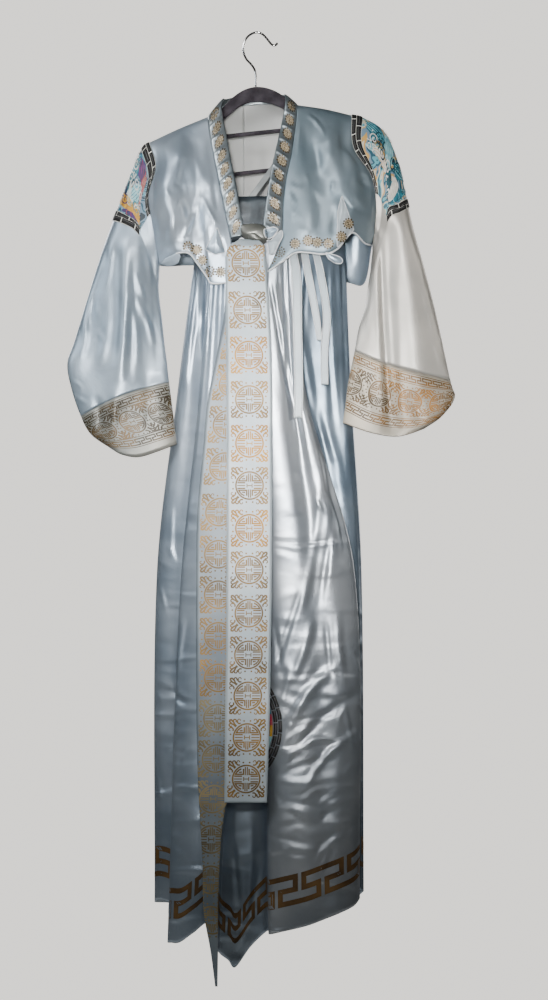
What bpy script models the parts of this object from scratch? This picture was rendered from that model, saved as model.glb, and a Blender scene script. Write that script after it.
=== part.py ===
"""Satin hanbok on a velvet hanger: a short jacket over a long gathered wrap skirt.

Tables are in millimetres. The origin is the inside top of the hook, where the hanger
is held. X runs to the viewer's right, Y away from the viewer and Z up. The front of
the garment faces -Y.
"""
import math

import bpy
from mathutils import Vector

for old in list(bpy.data.objects):
    bpy.data.objects.remove(old, do_unlink=True)

MM = 0.001
CLOTH = 1.5            # thickness of satin with its lining
COLLAR_CLOTH = 2.2     # doubled band of the collar
PIPING_CLOTH = 2.4     # corded edge of the hem
PIPING_DROP = 2.8      # how far the piping stands below the hem
SEAM_GAP = 0.3         # gap between pieces that are sewn together
RIBBON = 1.2           # thickness of straps and ribbons
LAYER_LIFT = 0.5       # gap under a layer that lies on a panel
LAYER_DRAW = 0.25      # how far such a layer's edges are drawn in
FIELD_CLOTH = 1.0      # thickness of a badge's embroidered field
BORDER_CLOTH = 1.4     # thickness of a badge's border

SLEEVE_ROWS = 10       # rows from the outer fold of a sleeve to its underarm edge
SLEEVE_ROUNDNESS = 2.6  # power of a sleeve's section, 2 being an ellipse
COLLAR_END_ROW = 7     # row of a front panel where the collar band ends
PANEL_COLUMNS = 10     # columns of a front panel
NECK_COLUMNS = 4       # further columns of a back panel, below the neck

SATIN = (0.52, 0.60, 0.66, 1.0)
SATIN_ROUGH = 0.32


# Tables of the jacket

# Sleeve rings. Each lies across the sleeve: x and z at its outer fold, at every quarter
# of the way and at its inner edge, then the centre depth y and the half depth of the
# flattened tube.
LEFT_SLEEVE = (
    (-189, -192, -177, -238, -190, -288, -182, -343, -171, -409, 0, 26),    # armhole seam
    (-203, -205, -190, -252, -196, -300, -188, -348, -171.5, -420, 0, 26),
    (-226, -262, -211, -290, -203, -318, -193, -354, -172, -430, 0, 25),
    (-246, -312, -228, -322, -211, -334, -197, -361, -172.5, -439, 0, 24),  # badge border
    (-253, -330, -233, -338, -214, -349, -200, -373, -172.5, -448, 0, 23),  # badge edge
    (-276, -395, -252, -402, -227, -413, -201, -430, -171, -469, -2, 21),
    (-298, -467, -266, -472, -234, -478, -201, -487, -167, -502, -5, 19),
    (-320, -540, -281, -541, -242, -542, -202, -544, -162, -548, -8, 18),
    (-333, -582, -290, -578, -247, -576, -203, -576, -158, -578, -11, 17),
    (-325, -628, -284, -616, -242, -606, -198, -600, -156, -598, -13, 16),
    (-309, -674, -275, -655, -236, -638, -195, -624, -154, -614, -15, 15),  # cuff seam
    (-291, -706, -262, -694, -226, -681, -187, -670, -148, -660, -17, 14),
    (-256, -731, -236, -742, -208, -746, -174, -736, -140, -723, -18, 13),  # cuff opening
)
LEFT_CUFF_RING = 10
LEFT_BADGE_RINGS = (0, 4)
RIGHT_SLEEVE = (
    (166, -144, 169, -203, 200, -253, 209, -308, 203, -372, 0, 26),         # armhole seam
    (186, -149, 184, -197, 206, -251, 214, -314, 203, -383, 0, 26),
    (222, -172, 212, -214, 215, -264, 218, -321, 202, -393, 0, 26),
    (246, -222, 232, -251, 222, -287, 221, -328, 201, -402, -2, 25),
    (263, -291, 244, -303, 230, -310, 223, -338, 200, -411, -4, 24),        # badge border
    (267, -308, 249, -319, 234, -326, 223, -351, 199, -421, -5, 24),        # badge edge
    (278, -356, 257, -370, 237, -382, 216, -402, 195, -445, -8, 22),
    (295, -417, 270, -436, 243, -449, 216, -463, 190, -482, -13, 20),
    (316, -502, 283, -511, 248, -517, 213, -521, 178, -522, -20, 18),
    (339, -612, 297, -602, 255, -592, 213, -578, 171, -560, -28, 16),       # cuff seam
    (346, -643, 299, -652, 250, -645, 205, -632, 160, -614, -31, 15),
    (322, -676, 286, -689, 245, -691, 199, -682, 154, -659, -33, 14),
    (292, -697, 263, -707, 236, -710, 194, -702, 150, -686, -34, 13),       # cuff opening
)
RIGHT_CUFF_RING = 9
RIGHT_BADGE_RINGS = (0, 5)
BADGE_ROW = 6          # a badge reaches this row on the front and on the back

# Edges of the panels: share of the edge's length, then x, y and z.
LEFT_SHOULDER = ((0.0, -189, 0, -192), (0.5, -138, 0, -168), (1.0, -87, 0, -147))
RIGHT_SHOULDER = ((0.0, 166, 0, -144), (0.5, 119, 0, -133), (1.0, 72, 0, -126))
LEFT_HEM = (
    (0.00, -171, 0, -409),
    (0.10, -158, -27, -398),
    (0.20, -139, -58, -391),
    (0.34, -118, -63, -391),    # turned-up loop
    (0.50, -103, -57, -409),
    (0.66, -86, -58, -433),
    (0.76, -79, -64, -443),
    (0.90, -56, -66, -443),
    (1.00, -38, -65, -440),
)
RIGHT_HEM = (
    (0.00, 203, 0, -372),
    (0.16, 189, -24, -370),
    (0.30, 166, -50, -354),     # corner of the turned-up flap
    (0.44, 141, -64, -383),
    (0.58, 117, -68, -393),
    (0.70, 88, -66, -390),
    (0.80, 66, -68, -391),
    (0.90, 44, -69, -406),
    (1.00, 19, -67, -423),
)
LEFT_COLLAR_SEAM = (
    (0.00, -87, 0, -147),
    (0.03, -86, -9, -153),
    (0.10, -84, -16, -170),
    (0.20, -80, -25, -196),
    (0.35, -71, -38, -243),
    (0.50, -62, -49, -287),
    (0.65, -53, -57, -331),
    (0.80, -45, -62, -367),
    (1.00, -38, -65, -440),
)
RIGHT_COLLAR_SEAM = (
    (0.00, 72, 0, -126),
    (0.03, 71, -9, -132),
    (0.10, 70, -16, -151),
    (0.20, 66, -26, -182),
    (0.35, 60, -38, -221),
    (0.50, 51, -48, -262),
    (0.65, 46, -57, -305),
    (0.80, 43, -63, -364),
    (1.00, 19, -67, -423),
)
LEFT_COLLAR_EDGE = (
    (0.00, -59, 0, -114),
    (0.03, -62, -9, -129),
    (0.10, -59, -14, -152),
    (0.20, -53, -23, -182),
    (0.35, -45, -38, -227),
    (0.50, -36, -50, -270),
    (0.65, -28, -59, -318),
    (0.80, -20, -64, -362),
)
RIGHT_COLLAR_EDGE = (
    (0.00, 49, 0, -106.5),
    (0.03, 50, -9, -119),
    (0.10, 46, -14, -145),
    (0.20, 41, -23, -172),
    (0.35, 33, -37, -208),
    (0.50, 25, -48, -246),
    (0.65, 17, -58, -296),
    (0.80, 10, -64, -350),
)
# Back panels: the line below each neck point and the centre back seam.
LEFT_NECK_LINE = (
    (0.00, -87, 0, -147),
    (0.03, -87, 9, -154),
    (0.10, -86, 19, -173),
    (0.30, -83, 38, -225),
    (0.60, -78, 48, -306),
    (1.00, -70, 52, -404),
)
RIGHT_NECK_LINE = (
    (0.00, 72, 0, -126),
    (0.03, 72, 9, -133),
    (0.10, 73, 19, -152),
    (0.30, 74, 38, -206),
    (0.60, 77, 48, -296),
    (1.00, 82, 52, -408),
)
CENTRE_BACK = (
    (0.00, -24, 40, -122),
    (0.50, -24, 48, -250),
    (1.00, -24, 54, -405),
)
LEFT_NECK = (
    (0.0, -87, 0, -147),
    (0.3, -75, 20, -136),
    (0.65, -52, 33, -127),
    (1.0, -24, 40, -122),
)
RIGHT_NECK = (
    (0.0, 72, 0, -126),
    (0.2, 64, 20, -121),
    (0.55, 30, 36, -119),
    (1.0, -24, 40, -122),
)
LEFT_NECK_TOP = (
    (0.0, -59, 0, -114),
    (0.3, -55, 17, -113),
    (0.65, -42, 31, -108),
    (1.0, -24, 38, -102),
)
RIGHT_NECK_TOP = (
    (0.0, 49, 0, -106.5),
    (0.2, 47, 15, -106),
    (0.55, 22, 34, -102),
    (1.0, -24, 38, -102),
)
LEFT_BACK_HEM = (
    (0.0, -171, 0, -409),
    (0.2, -158, 26, -408),
    (0.5, -128, 44, -405),
    (1.0, -70, 52, -404),
)
RIGHT_BACK_HEM = (
    (0.0, 203, 0, -372),
    (0.25, 191, 24, -436),
    (0.5, 166, 40, -437),
    (1.0, 82, 52, -408),
)
LEFT_BACK_MID_HEM = ((0.0, -70, 52, -404), (1.0, -24, 54, -405))
RIGHT_BACK_MID_HEM = ((0.0, 82, 52, -408), (1.0, -24, 54, -405))

# Soft folds that reach the solids: the side they lie on (-1 front, 1 back), x and z at
# both ends, height outwards (negative for a trough) and half width.
LEFT_FRONT_FOLDS = (
    (-1, -118, -225, -79, -340, 7, 24),
    (-1, -95, -292, -132, -378, -8, 18),
    (-1, -150, -215, -165, -340, 6, 26),
)
RIGHT_FRONT_FOLDS = (
    (-1, 96, -200, 142, -330, -6, 26),
    (-1, 148, -292, 200, -322, 9, 20),
    (-1, 120, -200, 150, -262, 6, 24),
)
LEFT_SLEEVE_FOLDS = (
    (-1, -215, -385, -240, -640, 6, 22),
    (-1, -185, -400, -188, -600, -5, 24),
    (-1, -252, -400, -290, -590, -4, 24),
    (1, -225, -360, -250, -660, 6, 26),
)
RIGHT_SLEEVE_FOLDS = (
    (-1, 228, -350, 236, -690, -6, 18),
    (-1, 252, -350, 282, -620, 5, 26),
    (1, 240, -340, 262, -660, 6, 28),
)

# Table of the skirt

# One row for each fold edge or face, all the way round from the left side along the
# front: x and y at the waist, at a fifth of the length, at half and at the hem, and z of
# the hem there.
SKIRT_LEVELS = (0.0, 0.22, 0.5, 1.0)
SKIRT_FRONT = (
    (-106, 6, -139, 6, -176, 8, -180, 10, -1530),      # left side
    (-102, -12, -130, -12, -166, -8, -172, -6, -1524),     # side layer
    (-94, -26, -106, -20, -138, -17, -151, -15, -1530),    # tucked behind the front
    (-87, -33, -91, -27, -118, -25, -134, -24, -1550),     # turn of the tuck
    (-84, -37, -96, -37, -129, -36, -149, -37, -1582),
    (-81, -40, -101, -43, -134, -43, -156, -44, -1592),    # left edge of the front panel
    (-76, -43, -95, -50, -127, -51, -149, -53, -1592),
    (-64, -47, -80, -57, -104, -60, -134, -62, -1590),
    (-54, -50, -62, -61, -84, -64, -110, -66, -1573),
    (-42, -51, -40, -60, -62, -62, -84, -62, -1556),       # right edge of the front panel
    (-34, -50, -29, -54, -51, -50, -73, -46, -1590),
    (-28, -49, -23, -44, -45, -30, -66, -22, -1614),       # side wall of the recess
    (-20, -49, -16, -38, -32, -16, -50, -7, -1630),
    (-14, -49, -10, -37, -22, -12, -38, -2, -1643),        # lowest point of the hem
    (-6, -50, -3, -38, -7, -13, -12, -1, -1608),           # recess
    (1, -51, 4, -42, 7, -22, 12, -12, -1582),
    (6, -52, 8, -50, 13, -40, 20, -34, -1574),             # left edge of the right panel
    (13, -53, 12, -60, 17, -60, 22, -56, -1577),
    (22, -54, 24, -66, 38, -71, 42, -70, -1571),
    (36, -54, 44, -64, 74, -74, 86, -74, -1560),
    (48, -51, 62, -52, 102, -67, 120, -70, -1548),         # trough
    (56, -52, 71, -61, 132, -66, 146, -66, -1538),         # ridge
    (64, -50, 80, -56, 158, -56, 169, -54, -1528),
    (70, -47, 84, -47, 170, -45, 180, -40, -1516),         # right edge of the front
    (74, -44, 79, -38, 166, -36, 176, -29, -1514),
    (80, -42, 76, -29, 157, -26, 168, -19, -1511),         # turn behind the edge
    (96, -40, 92, -18, 164, -17, 174, -12, -1508),
    (122, -33, 128, -15, 174, -12, 181, -7, -1506),        # side layer
    (142, -20, 152, -9, 180, -5, 185, -1, -1509),
    (156, 2, 166, 6, 183, 8, 187, 10, -1512),              # right side
)
BACK_FOLDS = 8         # soft folds across the back of the skirt
BACK_WAIST = 42        # depth of the back at the waist
BACK_HEM = 62          # depth of the back at the hem
BACK_FOLD_DEPTH = 9
BACK_FOLD_FADE = 4     # the folds of the back fade over this part of its width
BACK_ROUNDNESS = 3     # power of the back's section, 2 being an ellipse
BACK_HEM_Z = -1538
BACK_HEM_WAVE = 6      # height of the waves of the back's hem
BACK_HEM_WAVES = 3
WAIST_Z = -372
BAND_TOP_Z = -292
BAND_CENTRE = (25, -2)
BAND_TAPER = 0.06      # share by which the band closes in towards its upper edge
COLUMN_STEPS = 3       # columns of cloth between two rows of the fold table
SKIRT_RISE = (0.0, 0.025, 0.055, 0.10, 0.16, 0.23, 0.32, 0.42, 0.53, 0.64, 0.75, 0.86, 0.94, 1.0)
PLEAT_DEPTH = 2.6      # gathers under the waist seam
PLEAT_PEAK = 0.055     # share of the length where the gathers are deepest
PLEAT_FADE = 0.38      # share of the length where they have died out
PLEAT_ROOM = 14        # width of a gather that takes the full depth
# Seams of the skirt's widths of cloth, as rows of the fold table.
SKIRT_WIDTHS = (
    ("skirt_width_side_left", 0, 3),
    ("skirt_width_front_left", 3, 7),
    ("skirt_width_front_inner", 7, 11),
    ("skirt_width_front_centre", 11, 16),
    ("skirt_width_front_right", 16, 25),
    ("skirt_width_side_right", 25, 29),
    ("skirt_width_back_right", 29, 37),
    ("skirt_width_back_left", 37, 45),
)

# Ribbons: z, x of both edges, and y. The first row is the top.
FRONT_TIE = (
    (-369, -30, 2, -75.3),
    (-379, -44, 12, -81.4),
    (-392, -53, 15, -81.9),
    (-430, -54, 18, -82.5),
    (-572, -53, 26, -81.2),
    (-700, -52, 27, -81.1),
    (-860, -52, 27, -82.2),
    (-1066, -53, 25, -83.0),
    (-1220, -55, 22, -82.7),
    (-1345, -56, 18, -81.5),
)
BACK_TIE = (
    (-387, -44, 10, -79.7),
    (-430, -50, 14, -80.5),
    (-504, -57, 18, -80),
    (-572, -70, 8, -79),
    (-654, -86, -9, -79),
    (-733, -93, -16, -79),
    (-843, -103, -26, -80),
    (-969, -105, -28, -81),
    (-1136, -105, -28, -81),
    (-1274, -103, -38, -80),
    (-1377, -98, -58, -79),
    (-1447, -94, -64, -78),
    (-1533, -92, -67, -78),
    (-1603, -80, -67, -78),
    (-1664, -72, -68, -78),
)
INNER_TIES = (
    ("inner_tie_left", ((-366, 52, 64, -53.5), (-430, 61, 76, -60), (-520, 64, 78, -65),
                        (-640, 66, 80, -66.5), (-679, 65, 78, -66))),
    ("inner_tie_middle", ((-366, 74, 84, -45.6), (-430, 84, 96, -54), (-500, 98, 109, -52),
                          (-543, 106, 114, -48))),
    ("inner_tie_right", ((-366, 92, 102, -42.0), (-430, 106, 118, -50), (-500, 116, 128, -48),
                         (-560, 112, 124, -44), (-620, 113, 124, -42))),
)
# The knot: centre x and z, half height and half depth of its rings.
KNOT = (
    (-27, -352, 3, 3),
    (-24, -353, 9, 5.5),
    (-14, -356, 13, 7),
    (0, -358, 15, 7.5),
    (13, -360, 14, 6),
    (18, -361, 5, 3),
)
KNOT_Y = -69.3
KNOT_SIDES = 12

# Straps of the skirt over the hanger: x on the arm, x of their feet on the band, and y
# of their front and back feet.
STRAPS = (
    ("skirt_strap_left", -104, -66, -44.2, 33.0),
    ("skirt_strap_right", 92, -8, -46.8, 39.0),
)
STRAP_HALF = 6
STRAP_FOOT_RISE = 0.65  # height of a strap's feet over the band's upper edge
# A strap's run from its front foot over the hanger to its back foot: the share of the
# way up to the arm, y at the arm, and the height above the arm's upper edge.
STRAP_PATH = (
    (0.0, -8.0, -16.0),
    (0.55, -8.0, -16.0),
    (1.0, -8.0, -16.0),
    (1.0, -6.0, -6.5),
    (1.0, -5.0, 0.2),
    (1.0, 0.0, 2.6),
    (1.0, 5.0, 0.2),
    (1.0, 6.0, -6.5),
    (1.0, 8.0, -16.0),
    (0.55, 8.0, -16.0),
    (0.0, 8.0, -16.0),
)

# The hanger: x and z of the arm's upper edge and the arm's height there.
ARM = (
    (-186, -197, 10),
    (-178, -193, 18),
    (-138, -174, 22),
    (-104, -159.6, 23),
    (-80, -150, 24),
    (-62, -132, 25),
    (-49, -118, 26),
    (-26, -101, 26),
    (-2, -94, 27),
    (24, -98, 26),
    (48, -111, 24),
    (66, -129, 23),
    (92, -134.7, 22),
    (126, -140, 22),
    (160, -151, 20),
    (182, -160, 17),
    (190, -164, 9),
)
# The arm's section: y, then the height from its upper edge or from its lower edge.
ARM_UPPER_OUTLINE = ((4.0, -4.0), (2.6, -1.2), (0.0, 0.0), (-2.6, -1.2), (-4.0, -4.0))
ARM_LOWER_OUTLINE = ((-4.0, 4.0), (-2.4, 0.0), (2.4, 0.0), (4.0, 4.0))
RAILS = (
    ("hanger_rail_upper", ((-114, -191.5), (-60, -182), (50, -170.5), (112, -166.2))),
    ("hanger_rail_lower", ((-182, -212.6), (-176, -244), (-150, -259), (-60, -250), (40, -239),
                           (150, -226), (178, -208), (184, -178))),
)
RAIL_HALF_HEIGHT = 4.0
RAIL_HALF_DEPTH = 3.2
RAIL_SIDES = 8
HOOK_RADIUS = 1.9
HOOK_STEPS = 3         # steps of the wire between two points of its table
HOOK = (
    (36.5, -17), (31.5, -21), (25.5, -19), (18, -9.8), (9.5, -1.2), (0, 1.9), (-11.5, -1.8),
    (-20.5, -11.5), (-24.2, -25), (-22.8, -36), (-18, -46), (-10.5, -54), (-4.5, -63),
    (-2.2, -74), (-2, -93.4),
)


# Helpers

def spline(rows, share):
    """Read a table of (key, values...) at a key, on a smooth curve through its rows."""
    keys = [row[0] for row in rows]
    last = len(rows) - 1
    index = 0
    while index < last - 1 and share > keys[index + 1]:
        index += 1

    def slope(at, column):
        low, high = max(at - 1, 0), min(at + 1, last)
        return (rows[high][column] - rows[low][column]) / (keys[high] - keys[low])

    step = keys[index + 1] - keys[index]
    t = min(max((share - keys[index]) / step, 0.0), 1.0)
    first = 2 * t**3 - 3 * t**2 + 1
    second = 1 - first
    values = []
    for column in range(1, len(rows[0])):
        value = first * rows[index][column] + second * rows[index + 1][column]
        value += (t**3 - 2 * t**2 + t) * step * slope(index, column)
        value += (t**3 - t**2) * step * slope(index + 1, column)
        values.append(value)
    return values


def even(count):
    """Even shares from 0 to 1."""
    return [index / count for index in range(count + 1)]


def bunched(count):
    """Shares from 0 to 1 that lie closer together at both ends."""
    return [(1 - math.cos(math.pi * index / count)) / 2 for index in range(count + 1)]


def edge(table, shares):
    return [Vector(spline(table, share)) for share in shares]


def patch(top, bottom, side, centre, across, down):
    """A grid of points between four edges. Its first index runs across, its second down."""
    grid = []
    for i, u in enumerate(across):
        column = []
        for j, v in enumerate(down):
            rule = top[i].lerp(bottom[i], v) + side[j].lerp(centre[j], u)
            corners = side[0].lerp(centre[0], u).lerp(side[-1].lerp(centre[-1], u), v)
            column.append(rule - corners)
        grid.append(column)
    return grid


def fold(point, side, folds):
    """Move a point out of or into the cloth by the folds that pass near it."""
    shift = 0.0
    for fold_side, x0, z0, x1, z1, height, width in folds:
        if fold_side != side:
            continue
        length2 = (x1 - x0)**2 + (z1 - z0)**2
        t = ((point.x - x0) * (x1 - x0) + (point.z - z0) * (z1 - z0)) / length2
        t = min(max(t, 0.0), 1.0)
        away = math.hypot(point.x - x0 - t * (x1 - x0), point.z - z0 - t * (z1 - z0))
        shift += height * math.exp(-(away / width)**2)
    return point + Vector((0, side * shift, 0))


def drawn(step, line, square):
    """How far an edge is drawn in: square to its line, or along a step of the grid."""
    if square:
        return (step - step.project(line)).normalized() * SEAM_GAP / 2
    return step.normalized() * LAYER_DRAW


def key(point):
    return tuple(round(value, 3) for value in point)


class Cloth:
    """Pieces of cloth that share the points of their seams, and so share their normals."""

    def __init__(self):
        self.pieces = []
        self.normals = {}

    def add(self, name, grid, outward, look, wall=CLOTH, closed=False, left_out=()):
        """Add a grid of outer points. outward is 1 or -1, the side that the grid's own
        turning sense faces. Cells that are left out stay open."""
        rows = len(grid[0])
        cells = [(i, j) for i in range(len(grid) - 1) for j in range(rows if closed else rows - 1)
                 if (i, j) not in left_out]
        self.pieces.append((name, grid, cells, outward, look, wall, closed))
        for i, j in cells:
            a, b = grid[i][j], grid[i + 1][j]
            c, d = grid[i + 1][(j + 1) % rows], grid[i][(j + 1) % rows]
            normal = (c - a).cross(d - b) * outward
            for corner in (a, b, c, d):
                spot = key(corner)
                self.normals[spot] = self.normals.get(spot, Vector()) + normal

    def normal(self, point):
        return self.normals[key(point)].normalized()

    def find(self, name):
        return next(piece for piece in self.pieces if piece[0] == name)

    def build(self):
        for name, grid, cells, outward, look, wall, closed in self.pieces:
            self.solid(name, grid, cells, outward, look, closed, 0.0, -wall, square=True)

    def raised(self, name, base, cells, look, wall):
        """A layer that lies on a piece, made from the piece's points moved outwards."""
        _, grid, _, outward, _, _, closed = self.find(base)
        self.solid(name, grid, cells, outward, look, closed, LAYER_LIFT + wall, LAYER_LIFT, square=False)

    def solid(self, name, grid, cells, outward, look, closed, outer, inner, square):
        """A closed wall over some cells of a grid, between two distances from it. Its
        edges are drawn in by half a seam, square to the edge or along the grid's lines."""
        rows = len(grid[0])
        used = {}
        for i, j in cells:
            following = (j + 1) % rows if closed else j + 1
            for spot in ((i, j), (i + 1, j), (i + 1, following), (i, following)):
                used.setdefault(spot, set()).add((i, j))
        index = {spot: number for number, spot in enumerate(sorted(used))}
        points = []
        for i, j in sorted(used):
            point = grid[i][j]
            pull = Vector()
            touching = used[(i, j)]
            before = (i - 1, j) in used and any(cell[0] == i - 1 for cell in touching)
            after = (i + 1, j) in used and any(cell[0] == i for cell in touching)
            above = (j - 1) % rows if closed else max(j - 1, 0)
            beneath = (j + 1) % rows if closed else min(j + 1, rows - 1)
            if before != after:
                step = grid[i - 1][j] - point if before else grid[i + 1][j] - point
                line = grid[i][beneath] - grid[i][above]
                pull += drawn(step, line, square)
            over = any(cell[1] == (j - 1) % rows for cell in touching)
            under = any(cell[1] == j for cell in touching)
            if over != under and (square or before == after):
                step = grid[i][above if over else beneath] - point
                line = grid[min(i + 1, len(grid) - 1)][j] - grid[max(i - 1, 0)][j]
                pull += drawn(step, line, square)
            normal = self.normal(point)
            points.append(point + pull + normal * outer)
            points.append(point + pull + normal * inner)
        faces = []
        borders = {}
        for i, j in cells:
            following = (j + 1) % rows if closed else j + 1
            ring = [index[(i, j)], index[(i + 1, j)], index[(i + 1, following)], index[(i, following)]]
            halves = [[ring[0], ring[1], ring[2]], [ring[0], ring[2], ring[3]]]
            if outward < 0:
                ring.reverse()
                halves = [half[::-1] for half in halves]
            for half in halves:
                faces.append([2 * corner for corner in half])
                faces.append([2 * corner + 1 for corner in reversed(half)])
            for start, end in zip(ring, ring[1:] + ring[:1]):
                if (end, start) in borders:
                    del borders[(end, start)]
                else:
                    borders[(start, end)] = True
        spots = sorted(used)
        for start, end in borders:
            a, b, c, d = 2 * end, 2 * start, 2 * start + 1, 2 * end + 1
            first = key(grid[spots[start][0]][spots[start][1]])
            second = key(grid[spots[end][0]][spots[end][1]])
            if first < second:
                faces += [[a, b, d], [b, c, d]]
            else:
                faces += [[a, b, c], [a, c, d]]
        make_object(name, points, faces, look)


LOOKS = {}


def look_of(name):
    """The material of a sub-part, with its colour, roughness and metallic value."""
    if name in LOOKS:
        return LOOKS[name]
    colour, rough, metal = MATERIALS[name]
    material = bpy.data.materials.new(name)
    material.use_nodes = True
    shader = material.node_tree.nodes["Principled BSDF"]
    shader.inputs["Base Color"].default_value = colour
    shader.inputs["Roughness"].default_value = rough
    shader.inputs["Metallic"].default_value = metal
    LOOKS[name] = material
    return material


MATERIALS = {
    "satin": (SATIN, SATIN_ROUGH, 0.0),
    "collar_satin": ((0.50, 0.55, 0.55, 1.0), 0.35, 0.0),
    "gold_cuff": ((0.60, 0.46, 0.26, 1.0), 0.40, 0.2),
    "ribbon_satin": ((0.66, 0.74, 0.80, 1.0), 0.35, 0.0),
    "white_piping": ((0.82, 0.84, 0.86, 1.0), 0.45, 0.0),
    "embroidery": ((0.30, 0.58, 0.60, 1.0), 0.55, 0.0),
    "black_embroidery": ((0.012, 0.012, 0.014, 1.0), 0.50, 0.0),
    "cotton_band": ((0.62, 0.64, 0.64, 1.0), 0.80, 0.0),
    "velvet": ((0.20, 0.17, 0.19, 1.0), 0.90, 0.0),
    "chrome": ((0.75, 0.75, 0.76, 1.0), 0.15, 1.0),
}


def make_object(name, points, faces, look):
    mesh = bpy.data.meshes.new(name)
    mesh.from_pydata([point * MM for point in points], [], faces)
    mesh.update()
    mesh.shade_smooth()
    mesh.set_sharp_from_angle(angle=math.radians(60))
    mesh.materials.append(look_of(look))
    body = bpy.data.objects.new(name, mesh)
    bpy.context.scene.collection.objects.link(body)
    return body


# Jacket

def sleeve_grid(table, folds):
    """Rings of a sleeve. Each ring runs down its front and back up its back."""
    grid = []
    shares = bunched(SLEEVE_ROWS)
    for ring in table:
        places = [(step / 4, ring[2 * step], ring[2 * step + 1]) for step in range(5)]
        centre, half = ring[10], ring[11]
        points = []
        for side, order in ((-1, shares), (1, shares[-2:0:-1])):
            for share in order:
                x, z = spline(places, share)
                bulge = math.sqrt(1 - abs(2 * share - 1)**SLEEVE_ROUNDNESS)
                point = Vector((x, centre + side * half * bulge, z))
                points.append(fold(point, side, folds) if 0 < share < 1 else point)
        grid.append(points)
    return grid


def build_jacket():
    cloth = Cloth()
    across = even(PANEL_COLUMNS)
    neck = even(NECK_COLUMNS)
    down = bunched(SLEEVE_ROWS)
    sides = (
        ("left", LEFT_SLEEVE, LEFT_SLEEVE_FOLDS, LEFT_CUFF_RING, LEFT_BADGE_RINGS, LEFT_SHOULDER,
         LEFT_HEM, LEFT_COLLAR_SEAM, LEFT_COLLAR_EDGE, LEFT_FRONT_FOLDS, LEFT_NECK_LINE,
         LEFT_NECK, LEFT_NECK_TOP, LEFT_BACK_HEM, LEFT_BACK_MID_HEM, 1),
        ("right", RIGHT_SLEEVE, RIGHT_SLEEVE_FOLDS, RIGHT_CUFF_RING, RIGHT_BADGE_RINGS, RIGHT_SHOULDER,
         RIGHT_HEM, RIGHT_COLLAR_SEAM, RIGHT_COLLAR_EDGE, RIGHT_FRONT_FOLDS, RIGHT_NECK_LINE,
         RIGHT_NECK, RIGHT_NECK_TOP, RIGHT_BACK_HEM, RIGHT_BACK_MID_HEM, -1),
    )
    for (side, rings, sleeve_folds, cuff, badge, shoulder, hem, seam, free, front_folds,
         neck_line, neckline, neck_top, back_hem, mid_hem, turn) in sides:
        sleeve = sleeve_grid(rings, sleeve_folds)
        cloth.add("sleeve_" + side, sleeve[:cuff + 1], turn, "satin", closed=True)
        cloth.add("cuff_" + side, sleeve[cuff:], turn, "gold_cuff", closed=True)

        armhole_front = sleeve[0][:SLEEVE_ROWS + 1]
        armhole_back = [sleeve[0][0]] + sleeve[0][:SLEEVE_ROWS - 1:-1]
        top = edge(shoulder, across)
        centre = edge(seam, down)
        front = patch(top, edge(hem, across), armhole_front, centre, across, down)
        for i in range(1, PANEL_COLUMNS):
            for j in range(1, SLEEVE_ROWS):
                front[i][j] = fold(front[i][j], -1, front_folds)
        underarm = ((0, SLEEVE_ROWS - 1),)
        cloth.add("jacket_front_" + side, front, -turn, "satin", left_out=underarm)

        below = edge(neck_line, down)
        back = patch(top, edge(back_hem, across), armhole_back, below, across, down)
        middle = patch(edge(neckline, neck), edge(mid_hem, neck), below, edge(CENTRE_BACK, down), neck, down)
        cloth.add("jacket_back_" + side, back + middle[1:], turn, "satin", left_out=underarm)

        collar_rows = range(COLLAR_END_ROW + 1)
        free_edge = edge(free, [down[j] for j in collar_rows])
        band = [[front[-1][j].lerp(free_edge[j], share) for j in collar_rows] for share in even(2)]
        cloth.add("collar_" + side, band, -turn, "collar_satin", wall=COLLAR_CLOTH)
        top_edge = edge(neck_top, neck)
        back_band = [[middle[i][0].lerp(top_edge[i], share) for share in even(2)] for i in range(len(neck))]
        cloth.add("collar_back_" + side, back_band, -turn, "collar_satin", wall=COLLAR_CLOTH)

        piping = []
        for column in front[1:]:
            piping.append([column[-1], column[-1] - Vector((0, 0, PIPING_DROP))])
        cloth.add("hem_piping_" + side, piping, -turn, "white_piping", wall=PIPING_CLOTH)
    cloth.build()
    for side, badge in (("left", LEFT_BADGE_RINGS), ("right", RIGHT_BADGE_RINGS)):
        build_badge(cloth, side, badge)


def build_badge(cloth, side, rings):
    """A round badge over the shoulder: an embroidered field inside a border."""
    first, last = rings
    ring_points = 2 * SLEEVE_ROWS
    rows = [j % ring_points for j in range(-BADGE_ROW, BADGE_ROW)]
    border = [(i, j) for i in (first, last - 1) for j in rows]
    field = [(i, j) for i in range(first + 1, last - 1) for j in rows]
    base = "sleeve_" + side
    cloth.raised("badge_field_" + side, base, field, "embroidery", FIELD_CLOTH)
    for place, ring in (("upper", first), ("lower", last - 1)):
        cells = [cell for cell in border if cell[0] == ring]
        name = "badge_border_%s_%s" % (place, side)
        cloth.raised(name, base, cells, "black_embroidery", BORDER_CLOTH)


# Skirt

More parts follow.
